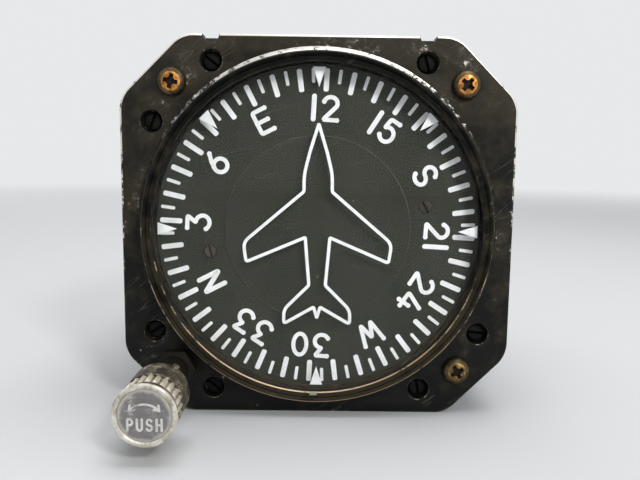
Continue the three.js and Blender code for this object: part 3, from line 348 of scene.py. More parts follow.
def smooth(piece, angle=32):
    take(piece)
    bpy.ops.object.shade_smooth_by_angle(angle=math.radians(angle))
    return piece


def soften(piece, width, segments=2, angle=35, edge_material=None):
    """Rounds the sharp edges. The rounds may take one of the piece's other materials."""
    take(piece)
    change = piece.modifiers.new("round", "BEVEL")
    change.width = width
    change.segments = segments
    change.limit_method = "ANGLE"
    change.angle_limit = math.radians(angle)
    if edge_material:
        change.material = edge_material
    bpy.ops.object.modifier_apply(modifier=change.name)
    return smooth(piece)


def refined(node, width, *materials, segments=2, angle=28):
    """A copy of a node with merged corners and rounded edges."""
    piece = copy_of_node(node)
    merge(piece, MM / 500)
    bpy.ops.mesh.dissolve_limited(angle_limit=math.radians(1))
    deselect()
    dress(piece, *materials)
    return soften(done(piece), width, segments, angle, edge_material=len(materials) - 1)


def dress(piece, *materials):
    piece.data.materials.clear()
    for material in materials:
        piece.data.materials.append(material)
    return piece


def finish_piece(piece, body, slot, *nodes):
    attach(piece, body)
    if nodes:
        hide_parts(*nodes)


# Node groups

def group(name, inputs, outputs):
    tree = bpy.data.node_groups.new(name, "ShaderNodeTree")
    for socket, value in inputs.items():
        made = tree.interface.new_socket(name=socket, in_out="INPUT", socket_type="NodeSocketFloat")
        made.default_value = value
    for socket in outputs:
        tree.interface.new_socket(name=socket, in_out="OUTPUT", socket_type="NodeSocketFloat")
    given, out = tree.nodes.new("NodeGroupInput"), tree.nodes.new("NodeGroupOutput")
    return tree, given.outputs, out


def fill(node, values):
    """Links each socket to an input of the node, and sets each plain value on one."""
    for key, value in values.items():
        if isinstance(value, bpy.types.NodeSocket):
            node.id_data.links.new(value, node.inputs[key])
        else:
            node.inputs[key].default_value = value
    return node


def add(tree, kind, values=None, **settings):
    made = tree.nodes.new(kind)
    for key, value in settings.items():
        setattr(made, key, value)
    return fill(made, values or {})


def sums(tree, operation, first, second=0.0, clamp=False):
    return add(tree, "ShaderNodeMath", {0: first, 1: second}, operation=operation, use_clamp=clamp).outputs[0]


def times(tree, first, second):
    return sums(tree, "MULTIPLY", first, second)


def plus(tree, first, second, clamp=False):
    return sums(tree, "ADD", first, second, clamp)


def minus(tree, first, second):
    return sums(tree, "SUBTRACT", first, second)


def spread(tree, value, low, high, to_low=0.0, to_high=1.0):
    return add(tree, "ShaderNodeMapRange", {
        "Value": value, "From Min": low, "From Max": high, "To Min": to_low, "To Max": to_high},
        interpolation_type="SMOOTHSTEP").outputs[0]


def noise(tree, vector, scale, detail=4.0, roughness=0.55):
    return add(tree, "ShaderNodeTexNoise", {
        "Vector": vector, "Scale": scale, "Detail": detail, "Roughness": roughness}).outputs["Fac"]


def place_in(tree):
    return add(tree, "ShaderNodeTexCoord").outputs["Object"]


def make_wear_and_light_group():
    """Where paint has come off: more with Wear, and more towards the top with Top, which also paints highlights on
    upper edges (or on lower ones, when negative). Rise lightens the tone upwards as painted light from above, or
    darkens it as painted shade when negative.
    """
    tree, given, out = group(
        "worn_paint_and_painted_light", {"Wear": 0.3, "Scale": 160.0, "Top": 0.0, "Rise": 0.0, "Height": MIDDLE[1]},
        ["Bare", "Thin", "Tone", "Relief"])
    place = place_in(tree)
    coarse = noise(tree, place, given["Scale"], 5.0, 0.6)
    fine = noise(tree, place, times(tree, given["Scale"], 7.0), 3.0, 0.7)
    height = add(tree, "ShaderNodeSeparateXYZ", {0: place}).outputs[2]
    above = minus(tree, height, given["Height"])
    both = plus(tree, times(tree, coarse, 0.62), times(tree, fine, 0.38))
    level = minus(tree, 0.82, times(tree, given["Wear"], 0.6))
    over = plus(tree, minus(tree, both, level), times(tree, above, given["Top"]))
    fill(out, {
        "Bare": spread(tree, over, -0.015, 0.03),
        "Thin": spread(tree, over, -0.09, 0.02),
        # Tone is a random tone plus Rise, the painted light and shade by height
        "Tone": plus(tree, coarse, times(tree, above, given["Rise"]), True),
        "Relief": minus(tree, fine, spread(tree, over, -0.02, 0.02))})
    return tree


def make_scratch_group():
    """Fine lines that run mostly one way, in patches."""
    tree, given, out = group("scratches", {"Scale": 60.0, "Stretch": 14.0, "Turn": 0.5, "Width": 0.02}, ["Lines"])
    place = place_in(tree)
    spin = add(tree, "ShaderNodeVectorRotate", {"Vector": place, "Angle": given["Turn"]}, rotation_type="Y_AXIS")
    parts = add(tree, "ShaderNodeSeparateXYZ", {0: spin.outputs[0]}).outputs
    long = sums(tree, "DIVIDE", parts[0], given["Stretch"])
    drawn = add(tree, "ShaderNodeCombineXYZ", {0: long, 1: parts[1], 2: parts[2]}).outputs[0]
    field = noise(tree, drawn, given["Scale"], 2.0, 0.5)
    away = sums(tree, "ABSOLUTE", minus(tree, field, 0.5))
    thin = spread(tree, away, 0.0, given["Width"], 1.0, 0.0)
    patch = spread(tree, noise(tree, place, 90.0, 2.0), 0.5, 0.62)
    fill(out, {"Lines": times(tree, thin, patch)})
    return tree


def make_dust_group():
    """Small pale specks."""
    tree, given, out = group("dust", {"Scale": 900.0, "Size": 0.16, "Share": 0.3}, ["Specks"])
    cells = add(tree, "ShaderNodeTexVoronoi", {"Vector": place_in(tree), "Scale": given["Scale"]}).outputs
    dot = spread(tree, cells["Distance"], times(tree, given["Size"], 0.5), given["Size"], 1.0, 0.0)
    chance = add(tree, "ShaderNodeSeparateColor", {0: cells["Color"]}).outputs[0]
    fill(out, {"Specks": times(tree, dot, sums(tree, "LESS_THAN", chance, given["Share"]))})
    return tree


def make_axis_group():
    """How far a point lies from an axis along Y, in metres."""
    tree, given, out = group("axis_distance", {"X": 0.0, "Z": 0.0}, ["Distance"])
    parts = add(tree, "ShaderNodeSeparateXYZ", {0: place_in(tree)}).outputs
    right = minus(tree, parts[0], given["X"])
    up = minus(tree, parts[2], given["Z"])
    square = plus(tree, times(tree, right, right), times(tree, up, up))
    fill(out, {"Distance": sums(tree, "SQRT", square)})
    return tree


WEAR_AND_LIGHT = make_wear_and_light_group()
SCRATCHES = make_scratch_group()
DUST = make_dust_group()
AXIS = make_axis_group()


# Materials

def material(name):
    made = bpy.data.materials.new(name)
    made.use_nodes = True
    return made, made.node_tree, made.node_tree.nodes["Principled BSDF"]


def use(tree, shared, **values):
    made = add(tree, "ShaderNodeGroup", node_tree=shared)
    return fill(made, {key.title(): value for key, value in values.items()}).outputs


def opaque(colour):
    return colour if isinstance(colour, bpy.types.NodeSocket) else (*colour, 1.0)


def blend_colours(tree, share, first, second):
    return add(tree, "ShaderNodeMix", {6: opaque(first), 7: opaque(second), 0: share}, data_type="RGBA").outputs[2]


def blend_values(tree, share, first, second):
    return add(tree, "ShaderNodeMix", {0: share, 2: first, 3: second}, data_type="FLOAT").outputs[0]


def blend_shaders(tree, share, first, second, output="Material Output"):
    """Sends a mix of two shaders to the output."""
    both = add(tree, "ShaderNodeMixShader", {0: share, 1: first.outputs[0], 2: second.outputs[0]})
    fill(tree.nodes[output], {"Surface": both.outputs[0]})


def relief(shader, height, strength, distance=0.05 * MM):
    bump = add(shader.id_data, "ShaderNodeBump", {"Height": height, "Strength": strength, "Distance": distance})
    fill(shader, {"Normal": bump.outputs[0]})


def worn_paint_and_painted_light(name, paint, lit, bare, wear, scale=160.0, top=0.0, rise=0.0, scratch=0.5, chips=0.0, gloss=0.16):
    """Enamel that is thin and brown in places, and gone to bare metal in others. Top and rise paint light and shade by
    height.
    """
    made, tree, shader = material(name)
    worn = use(tree, WEAR_AND_LIGHT, wear=wear, scale=scale, top=top, rise=rise)
    lines = use(tree, SCRATCHES, scale=420.0, stretch=9.0, turn=0.6, width=0.012)["Lines"]
    specks = use(tree, DUST, scale=380.0, size=0.14, share=chips)["Specks"]
    base = blend_colours(tree, spread(tree, worn["Tone"], 0.35, 0.7), paint, lit)
    thin = blend_colours(tree, times(tree, worn["Thin"], 0.12), base, bare)
    scored = blend_colours(tree, times(tree, lines, scratch), thin, bare)
    broken = spread(tree, worn["Relief"], 0.42, 0.56)
    chipped = blend_colours(tree, times(tree, specks, broken), scored, bare)
    grain = spread(tree, worn["Tone"], 0.2, 0.8, 0.43, 0.6)
    fill(shader, {
        "Base Color": blend_colours(tree, worn["Bare"], chipped, bare),
        "Specular IOR Level": gloss,
        "Metallic": times(tree, worn["Bare"], 0.75),
        "Roughness": blend_values(tree, worn["Bare"], grain, 0.42)})
    relief(shader, worn["Relief"], 0.25)
    return made


def plain_metal(name, colour, dark, roughness=0.35, scale=300.0, metallic=1.0, grime=0.35, gloss=0.5):
    """Machined or cast metal with duller patches."""
    made, tree, shader = material(name)
    worn = use(tree, WEAR_AND_LIGHT, wear=grime, scale=scale)
    lines = use(tree, SCRATCHES, scale=700.0, stretch=12.0, turn=1.1, width=0.03)["Lines"]
    base = blend_colours(tree, spread(tree, worn["Tone"], 0.3, 0.75), colour, dark)
    dull = plus(tree, times(tree, worn["Tone"], 0.25), roughness - 0.1)
    fill(shader, {
        "Base Color": blend_colours(tree, times(tree, worn["Bare"], 0.6), base, dark),
        "Metallic": metallic,
        "Specular IOR Level": gloss,
        "Roughness": plus(tree, dull, times(tree, lines, 0.15), True)})
    relief(shader, worn["Tone"], 0.15)
    return made


def make_dial_paint(name, colour, pale, roughness):
    made, tree, shader = material(name)
    worn = use(tree, WEAR_AND_LIGHT, wear=0.2, scale=70.0)
    specks = use(tree, DUST, scale=260.0, size=0.1, share=0.05)["Specks"]
    lines = use(tree, SCRATCHES, scale=260.0, stretch=16.0, turn=0.2, width=0.006)["Lines"]
    base = blend_colours(tree, spread(tree, worn["Tone"], 0.3, 0.7), colour, pale)
    dusty = blend_colours(tree, times(tree, specks, 0.25), base, (0.35, 0.35, 0.32))
    fill(shader, {
        "Base Color": blend_colours(tree, times(tree, lines, 0.12), dusty, (0.3, 0.3, 0.27)),
        "Roughness": spread(tree, worn["Tone"], 0.2, 0.8, roughness - 0.05, roughness + 0.08),
        "Specular IOR Level": 0.08})
    relief(shader, worn["Tone"], 0.05)
    return made


def make_white_paint(name, colour, dull, wear=0.12, through=(0.1, 0.1, 0.09)):
    made, tree, shader = material(name)
    worn = use(tree, WEAR_AND_LIGHT, wear=wear, scale=500.0)
    base = blend_colours(tree, spread(tree, worn["Tone"], 0.35, 0.7), colour, dull)
    fill(shader, {"Base Color": blend_colours(tree, worn["Bare"], base, through), "Roughness": 0.6})
    relief(shader, worn["Relief"], 0.1)
    return made


def make_glass(name):
    """Clear glass. It refracts less than real glass, so that the pale floor doesn't veil the dial."""
    made, tree, shader = material(name)
    smear = use(tree, WEAR_AND_LIGHT, wear=0.35, scale=45.0)["Tone"]
    lines = use(tree, SCRATCHES, scale=120.0, stretch=20.0, turn=0.12, width=0.004)["Lines"]
    film = spread(tree, smear, 0.5, 0.8, 0.0, 0.02)
    fill(shader, {
        "Base Color": (1, 1, 1, 1), "Transmission Weight": 1.0, "IOR": 1.18,
        "Roughness": plus(tree, film, times(tree, lines, 0.2), True)})
    rays = add(tree, "ShaderNodeLightPath").outputs
    blend_shaders(tree, rays["Is Shadow Ray"], shader, add(tree, "ShaderNodeBsdfTransparent"))
    return made


def make_knob_metal(name, bright, dull, dark, inner, outer):
    """Bare on what stands out of the knob, with old paint and dirt lower down."""
    made, tree, shader = material(name)
    reach = use(tree, AXIS, x=KNOB[0], z=KNOB[1])["Distance"]
    worn = use(tree, WEAR_AND_LIGHT, wear=0.5, scale=330.0, height=KNOB[1])
    blotch = times(tree, minus(tree, worn["Tone"], 0.5), 1.3)
    uneven = plus(tree, spread(tree, reach, inner, outer), blotch, True)
    metal = blend_colours(tree, worn["Thin"], dull, bright)
    fill(shader, {
        "Base Color": blend_colours(tree, uneven, dark, metal),
        "Metallic": times(tree, uneven, 0.65),
        "Roughness": blend_values(tree, uneven, 0.7, 0.38)})
    relief(shader, worn["Relief"], 0.3)
    return made


def make_knob_face(name):
    """Grey paint, rubbed pale round its edge."""
    made, tree, shader = material(name)
    reach = use(tree, AXIS, x=KNOB[0], z=KNOB[1])["Distance"]
    worn = use(tree, WEAR_AND_LIGHT, wear=0.42, scale=420.0, height=KNOB[1])
    rubbed = spread(tree, plus(tree, reach, times(tree, worn["Tone"], 1.6 * MM)), 4.9 * MM, 5.9 * MM)
    base = blend_colours(tree, spread(tree, worn["Tone"], 0.3, 0.7), (0.19, 0.18, 0.18), (0.27, 0.26, 0.26))
    spots = blend_colours(tree, times(tree, worn["Bare"], 0.6), base, (0.55, 0.52, 0.5))
    fill(shader, {
        "Base Color": blend_colours(tree, rubbed, spots, (0.6, 0.56, 0.5)),
        "Roughness": spread(tree, worn["Tone"], 0.2, 0.8, 0.4, 0.6),
        "Metallic": 0.35})
    relief(shader, worn["Relief"], 0.3)
    return made


def make_felt(name):
    made, tree, shader = material(name)
    hair = noise(tree, place_in(tree), 1800.0, 6.0, 0.8)
    fill(shader, {
        "Base Color": blend_colours(tree, hair, (0.42, 0.36, 0.24), (0.72, 0.66, 0.5)),
        "Roughness": 0.95, "Sheen Weight": 0.3})
    relief(shader, hair, 0.6, 0.2 * MM)
    return made


def make_rubber(name):
    made, tree, shader = material(name)
    worn = use(tree, WEAR_AND_LIGHT, wear=0.3, scale=260.0)
    fill(shader, {
        "Base Color": blend_colours(tree, worn["Tone"], (0.015, 0.015, 0.016), (0.05, 0.05, 0.048)),
        "Roughness": spread(tree, worn["Tone"], 0.2, 0.8, 0.7, 0.9)})
    relief(shader, worn["Relief"], 0.2)
    return made


BARE = (0.5, 0.47, 0.41)
BRIGHT = (0.8, 0.77, 0.7)
GOLDEN = (0.5, 0.37, 0.24)
DARK = (0.005, 0.006, 0.005)
BROWN = (0.04, 0.033, 0.021)

# Flange enamel: the lighter brown tone and extra bare metal towards the top are painted light from above, over real
# wear
paint = worn_paint_and_painted_light("black_enamel", DARK, BROWN, BARE, 0.265, top=1.25, rise=4.0, scratch=0.12, chips=0.1)
# Flange edges: bright bare metal gathers towards the top, a painted highlight along the upper edges over real edge
# wear
paint_edge = worn_paint_and_painted_light("black_enamel_edge", DARK, BROWN, BRIGHT, 0.42, 260.0, top=5.0)
hole_edge = worn_paint_and_painted_light("hole_edge", DARK, BROWN, (0.32, 0.29, 0.24), 0.43, 300.0)
# Rim root: bright bare metal only towards the top, a painted highlight over slight wear
rim_edge_wear_and_highlight = worn_paint_and_painted_light("rim_root_edge_wear_and_highlight", DARK, BROWN, BRIGHT, 0.02, 560.0, top=10.0)
# Rim and retainer lips: golden bare metal towards the bottom, a painted highlight over real wear
rim_lip_wear_and_highlight = worn_paint_and_painted_light("rim_lip_wear_and_highlight", DARK, (0.05, 0.045, 0.033), GOLDEN, 0.36, 300.0, top=-6.5)
# Ring enamel: darker towards the top as painted shade from the rim, lighter towards the bottom
ring_paint_with_painted_shade = worn_paint_and_painted_light("ring_enamel_with_painted_shade", DARK, BROWN, BARE, 0.16, 240.0, rise=-4.0, scratch=0.12, gloss=0.06)
sealing_paint = worn_paint_and_painted_light("sealing_paint", (0.36, 0.38, 0.29), (0.45, 0.46, 0.38), (0.2, 0.2, 0.15), 0.2, 900.0)
case_paint = worn_paint_and_painted_light("case_enamel", DARK, (0.02, 0.019, 0.018), BARE, 0.14, 120.0, scratch=0.12)
case_edge = worn_paint_and_painted_light("case_enamel_edge", DARK, (0.05, 0.045, 0.04), BARE, 0.45, 260.0)
knob_barrel = worn_paint_and_painted_light("knob_barrel_paint", (0.03, 0.026, 0.018), (0.13, 0.11, 0.075), (0.55, 0.5, 0.38), 0.4, 420.0)

dial_paint = make_dial_paint("dial_paint", (0.026, 0.028, 0.02), (0.034, 0.035, 0.027), 0.62)
white = make_white_paint("white_marks", (0.8, 0.82, 0.82), (0.7, 0.72, 0.71))
worn_white = make_white_paint("worn_white_letters", (0.8, 0.77, 0.72), (0.62, 0.6, 0.56), 0.4, (0.3, 0.28, 0.3))
glass = make_glass("cover_glass")
felt = make_felt("filter_felt")
rubber = make_rubber("rubber")
knob_face = make_knob_face("knob_face_paint")
knob_metal = make_knob_metal(
    "knob_metal", (0.95, 0.87, 0.7), (0.7, 0.6, 0.43), (0.05, 0.042, 0.028), 5.5 * MM, 5.78 * MM)

aluminium = plain_metal("cast_aluminium", (0.5, 0.5, 0.49), (0.3, 0.3, 0.29), 0.5)
steel = plain_metal("steel", (0.5, 0.49, 0.47), (0.25, 0.24, 0.22), 0.35)
dark_steel = plain_metal(
    "darkened_steel", (0.01, 0.0095, 0.009), (0.004, 0.004, 0.0035), 0.6, metallic=0.0, grime=0.4, gloss=0.12)
brass = plain_metal("brass", (0.62, 0.42, 0.17), (0.35, 0.22, 0.08), 0.33)
dark_brass = plain_metal(
    "darkened_brass", (0.016, 0.013, 0.009), (0.008, 0.006, 0.004), 0.5, metallic=0.1, gloss=0.15)
gold_screw = plain_metal("tarnished_screw", (0.8, 0.34, 0.07), (0.2, 0.1, 0.035), 0.42, 900.0, grime=0.55)
dull_screw = plain_metal("dull_screw", (0.5, 0.3, 0.1), (0.07, 0.05, 0.025), 0.4, 900.0, grime=0.6)
# A darker metal for the rounded edge of the cross screws' heads
screw_rim = plain_metal("darker_screw_rim", (0.14, 0.1, 0.055), (0.05, 0.04, 0.025), 0.42, 650.0, grime=0.5)
# Near black for the cross recesses and wells: painted shade in the hollows of the screw heads
screw_recess_shade = plain_metal("screw_recess_shade", (0.02, 0.008, 0.003), (0.006, 0.003, 0.002), 0.7, 650.0, metallic=0.2)
slot_shadow = plain_metal(
    "slot_shadow", (0.005, 0.005, 0.004), (0.003, 0.003, 0.003), 0.7, metallic=0.0, gloss=0.05)
dial_screw_metal = plain_metal(
    "dial_screw_metal", (0.066, 0.056, 0.035), (0.018, 0.016, 0.011), 0.42, metallic=0.45)
# A lighter colour for the hub disc's bead: a painted highlight on its rounded edge
hub_edge_highlight = plain_metal("hub_edge_painted_highlight", (0.09, 0.088, 0.066), (0.05, 0.05, 0.04), 0.5, metallic=0.0, gloss=0.3)
knob_ring_metal = plain_metal(
    "knob_ring_metal", (0.88, 0.85, 0.77), (0.3, 0.25, 0.17), 0.4, 420.0, metallic=0.4, grime=0.3)

# The flange's and rim's materials, and their places among them
FLANGE_FINISHES = (paint_edge, rim_edge_wear_and_highlight, rim_lip_wear_and_highlight, hole_edge)
PAINT_EDGE, RIM_EDGE, RIM_LIP, HOLE_EDGE = range(1, 5)


# The front

def reach_of(spot):
    """How far a place lies from the instrument's axis."""
    return math.hypot(spot.x - MIDDLE[0], spot.z - MIDDLE[1])


def make_flange():
    low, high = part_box("front_flange")
    back = FACE + FLANGE_THICK
    plate = block("front_flange_dressed", (high[0] - low[0], FLANGE_THICK, high[2] - low[2]),
                  (0, FACE + FLANGE_THICK / 2, MIDDLE[1]))
    dress(plate, paint, *FLANGE_FINISHES)
    for width, steps in ((CORNER_CUT, 1), (CORNER_EASE, 6)):
        cut_edges(plate, width, steps, lambda a, b: abs(a.y - b.y) > FLANGE_THICK / 2)
    cut_edges(plate, FLANGE_ROUND, 3, lambda a, b: max(a.y, b.y) < FACE + MM / 10, PAINT_EDGE)
    cut_edges(plate, FLANGE_BACK_ROUND, 2, lambda a, b: min(a.y, b.y) > back - MM / 10, PAINT_EDGE)
    holes = [barrel("hole", WELL_RADIUS, FACE - MM, back + MM, steps=LARGE)]
    for side in (-1, 1):
        holes.append(barrel("hole", NOTCH_RADIUS, FACE - MM, back + MM, (side * SCREW_NEAR, high[2])))
    for place in SCREW_PLACES:
        holes.append(barrel("hole", SCREW_BORE, FACE - MM, FACE + SCREW_BORE_DEPTH, place))
    carve(plate, *holes)
    soften(plate, HOLE_ROUND, 2, 50, HOLE_EDGE)
    finish_piece(join("front_flange_dressed", [plate, make_rim()]), "root", "black_paint", "front_flange")


def make_rim():
    """The raised rim, with a worn fillet at its root and worn lips, which carry painted highlights: the fillet towards
    the top, the lips towards the bottom.
    """
    front = FACE - RIM_HEIGHT
    lip = 0.28 * MM
    width, height = 1.3 * MM, 1.1 * MM
    fillet = [(RIM_RADIUS + width * share, FACE - height * (1 - share) ** 2) for share in (1.0, 0.75, 0.5, 0.25, 0.0)]
    rim = turned("rim", [
        (WELL_RADIUS + 0.1 * MM, FACE + FLANGE_THICK - 0.2 * MM), (RIM_ROOT + 0.6 * MM, FACE + 0.5 * MM),
        (RIM_ROOT + 0.1 * MM, FACE + 0.05 * MM), *fillet, (RIM_RADIUS, front + lip), (RIM_RADIUS - lip, front),
        (RIM_BORE + lip, front), (RIM_BORE, front + lip), (RIM_BORE, FACE - SHOULDER_FRONT),
        (SHOULDER_BORE, FACE - SHOULDER_FRONT), (SHOULDER_BORE, FACE + SHOULDER_BACK),
        (WELL_RADIUS, FACE + SHOULDER_BACK)])
    dress(rim, ring_paint_with_painted_shade, *FLANGE_FINISHES)
    colour_faces(rim, RIM_EDGE, lambda spot, normal:
                 spot.y > FACE - 1.2 * MM and reach_of(spot) > RIM_RADIUS + 0.1 * MM)
    colour_faces(rim, RIM_LIP, lambda spot, normal:
                 spot.y < front + lip and abs(normal.y) < 0.9 and reach_of(spot) > RIM_RADIUS - lip)
    return smooth(rim, 40)


def make_retainer():
    front = front_of("glass_retaining_ring")
    back = front + RETAINER_THICK
    lip = 0.22 * MM
    retainer = turned("retainer", [
        (RETAINER_BORE, back), (RETAINER_OUTER, back), (RETAINER_OUTER, front + lip), (RETAINER_OUTER - lip, front),
        (RETAINER_BORE + lip, front), (RETAINER_BORE, front + lip)])
    dress(retainer, ring_paint_with_painted_shade, rim_lip_wear_and_highlight)
    # The retainer's inner lip takes the lip material, with its painted highlight towards the bottom
    colour_faces(retainer, 1, lambda spot, normal:
                 spot.y < front + lip and abs(normal.y) < 0.9 and reach_of(spot) < RETAINER_BORE + lip)
    low = MIDDLE[1] - (RETAINER_BORE + RETAINER_OUTER) / 2
    carve(retainer, block("split", (RETAINER_SPLIT, 3 * RETAINER_THICK, 2 * MM), (SPLIT_PLACE, front, low)))
    finish_piece(smooth(retainer), "root", "black_paint", "glass_retaining_ring")
    dab = block("sealing_dab", (RETAINER_SPLIT + 0.4 * MM, 0.7 * MM, MM), (SPLIT_PLACE, front + 0.75 * MM, low))
    dress(soften(narrow(dab, -1, 0.8, 0.6), 0.22 * MM, 3), sealing_paint)
    finish_piece(dab, "root", "black_paint")


def make_cover_glass():
    front, back, radius, _ = measure("cover_glass")
    edge = 0.2 * MM
    pane = turned("cover_glass_dressed", [
        (0, front), (radius - edge, front), (radius, front + edge), (radius, back - edge), (radius - edge, back),
        (0, back)], closed=False)
    finish_piece(dress(smooth(pane), glass), "root", "glass", "cover_glass")


def make_seal(node, wall):
    """A flat ring drawn again from the box and wall of its node."""
    front, back, radius, _ = measure(node)
    bore = radius - wall
    ring = turned(f"{node}_dressed", [(bore, front), (radius, front), (radius, back), (bore, back)])
    finish_piece(dress(smooth(ring), rubber), "root", "rubber", node)


# Screws, modelled once at the origin with the head's seat at y = 0

def slotted_screw(name, metal, head, thick, shank, reach, dome=0.25, slot=0.6 * MM):
    edge = thick * dome
    profile = [(0, -thick), (head * 0.6, -thick * 0.99), (head - edge, -thick * 0.9), (head, -thick + 1.6 * edge),
               (head, 0), (shank, 0), (shank, reach), (0, reach)]
    screw = dress(turned(name, profile, (0, 0), SMALL, closed=False), metal, slot_shadow)
    carve(screw, dress(block("slot", (2.4 * head, 1.2 * thick, slot), (0, -thick, 0)), slot_shadow))
    return smooth(screw)


def cross_screw(name):
    head, thick, shank, reach = 3.1 * MM, 1.9 * MM, 1.6 * MM, 12 * MM
    crown = 0.66 * head  # the bright middle of the head
    arm = (4.3 * MM, 2.2 * MM, 1.1 * MM)  # the cross's arms: length, depth and width
    screw = turned(name, [
        (0, -thick), (0.4 * head, -0.98 * thick), (crown, -0.9 * thick), (0.88 * head, -0.7 * thick),
        (head, -0.3 * thick), (head, 0), (shank, 0), (shank, reach), (0, reach)], (0, 0), 48, closed=False)
    dress(screw, gold_screw, screw_rim, screw_recess_shade)
    # The head's rounded edge, outside the crown, takes the darker metal
    colour_faces(screw, 1, lambda spot, normal: math.hypot(spot.x, spot.z) > crown)
    # The cross and the well take the near-black recess colour, painted shade
    for turn in (0, 90):
        blade = dress(block("blade", arm, (0, -thick, 0)), screw_recess_shade)
        carve(screw, moved(narrow(blade, 1, 0.5, 0.7), turn=turn))
    well = turned("well", [
        (0, -1.4 * thick), (1.05 * MM, -1.4 * thick), (0.85 * MM, -0.7 * thick), (0, -0.35 * thick)],
        (0, 0), 16, closed=False)
    carve(screw, dress(well, screw_recess_shade))
    return smooth(screw, 38)


def make_flange_screws():
    first = slotted_screw("flange_screw", dark_steel, head=2 * MM, thick=1.3 * MM, shank=1.1 * MM, reach=9 * MM)
    for number, (x, z) in enumerate(SCREW_PLACES, 1):
        screw = copy_of(first, f"flange_screw_{number}_dressed")
        moved(screw, x, FACE + SCREW_BORE_DEPTH, z, SCREW_TURN * number)
        finish_piece(screw, "root", "steel", f"flange_screw_{number}")
    bpy.data.objects.remove(first)


def make_mounting_screws():
    first = cross_screw("mounting_screw")
    for number, ((x, z), turn) in enumerate(zip(MOUNT_PLACES, MOUNT_TURNS), 1):
        screw = moved(copy_of(first, f"mounting_screw_{number}_dressed"), x, FACE, z, turn)
        if number == len(MOUNT_PLACES):
            screw.data.materials[0] = dull_screw
        finish_piece(screw, "root", "gold_screw", f"mounting_screw_{number}")
    bpy.data.objects.remove(first)


# Lettering, drawn in strokes. A glyph is its width and its strokes, as shares of the height between strokes.

def bow(x, y, across, up, start, end, steps=12):
    """Points along part of an oval, from one angle to another in degrees."""
    angles = [math.radians(start + (end - start) * step / steps) for step in range(steps + 1)]
    return [(x + across * math.cos(angle), y + up * math.sin(angle)) for angle in angles]


GLYPHS = {
    "0": (0.6, [bow(0.3, 0.5, 0.3, 0.5, 90, 435, 23) + [(0.3, 1.0)]]),
    "1": (0.12, [[(0.06, 0), (0.06, 1)]]),
    "2": (0.62, [bow(0.31, 0.72, 0.3, 0.28, 165, -25) + [(0, 0), (0.62, 0)]]),
    "3": (0.63, [[(0.03, 1), (0.58, 1), (0.3, 0.62)] + bow(0.3, 0.31, 0.32, 0.31, 80, -150, 14)]),
    "4": (0.72, [[(0.35, 1), (0, 0.22), (0.72, 0.19)], [(0.52, 0.52), (0.5, 0)]]),
    "5": (0.6, [[(0.54, 1), (0.1, 1), (0.05, 0.55)] + bow(0.27, 0.33, 0.31, 0.33, 125, -150, 14)]),
    "6": (0.6, [[(0.46, 1), (0.2, 0.72)] + bow(0.3, 0.31, 0.3, 0.31, 160, 500, 20)]),
    "N": (0.62, [[(0, 0), (0, 1), (0.62, 0), (0.62, 1)]]),
    "E": (0.6, [[(0.6, 1), (0, 1), (0, 0), (0.6, 0)], [(0, 0.5), (0.52, 0.5)]]),
    "S": (0.6, [bow(0.3, 0.745, 0.28, 0.255, 30, 262) + bow(0.3, 0.245, 0.3, 0.245, 82, -155)]),
    "W": (0.92, [[(0, 1), (0.22, 0), (0.46, 0.74), (0.7, 0), (0.92, 1)]]),
    "P": (0.56, [[(0, 0), (0, 1), (0.3, 1)] + bow(0.3, 0.74, 0.26, 0.26, 90, -90, 8) + [(0, 0.48)]]),
    "U": (0.58, [[(0, 1)] + bow(0.29, 0.29, 0.29, 0.29, 180, 360, 10) + [(0.58, 1)]]),
    "H": (0.58, [[(0, 0), (0, 1)], [(0.58, 0), (0.58, 1)], [(0, 0.5), (0.58, 0.5)]]),
}


def eased(points, reaches, closed):
    """The points with each sharp corner turned into a short curve, so that a stroke keeps its width."""
    result = []
    for index, (spot, reach) in enumerate(zip(points, reaches)):
        here = Vector(spot)
        before = Vector(points[index - 1]) - here
        after = Vector(points[(index + 1) % len(points)]) - here
        at_end = not closed and index in (0, len(points) - 1)
        if at_end or (-before).angle(after) < math.radians(12):
            result.append(spot)
            continue
        start = here + before.normalized() * min(reach, 0.45 * before.length)
        end = here + after.normalized() * min(reach, 0.45 * after.length)
        for share in (0.0, 0.2, 0.4, 0.6, 0.8, 1.0):
            point = start * (1 - share) ** 2 + here * 2 * share * (1 - share) + end * share ** 2
            result.append((point.x, point.y))
    return result


def stroke(name, points, width, thick, closed=False, reaches=None):
    """A flat stroke through points in x and z, with round ends."""
    points = [spot for spot, ahead in zip(points, [*points[1:], None]) if spot != ahead]
    if closed and points[0] == points[-1]:
        points = points[:-1]
    path = [(x, 0, z) for x, z in eased(points, reaches or [0.45 * width] * len(points), closed)]
    piece = line(name, path + path[:1] if closed else path)
    if closed:
        merge(piece)
    take(piece)
    bpy.ops.object.convert(target="CURVE")
    piece = bpy.context.object
    piece.data.bevel_depth = width / 2
    piece.data.bevel_resolution = 1
    piece.data.use_fill_caps = True
    bpy.ops.object.convert(target="MESH")
    pieces = [bpy.context.object]
    for place in () if closed else (points[0], points[-1]):
        pieces.append(barrel("end", width / 2, -width / 2, width / 2, place, 16))
    whole = join(name, pieces)
    whole.scale = (1, thick / width, 1)
    return done(whole, name)


def make_glyph(letter, height, width, slim):
    rise = height - width
    strokes = []
    for points in GLYPHS[letter][1]:
        drawn = [(x * slim * rise, (z - 0.5) * rise) for x, z in points]
        strokes.append(stroke(f"stroke_{letter}", drawn, width, 2 * MARK_THICK, points[0] == points[-1]))
    return join(f"glyph_{letter}", strokes)


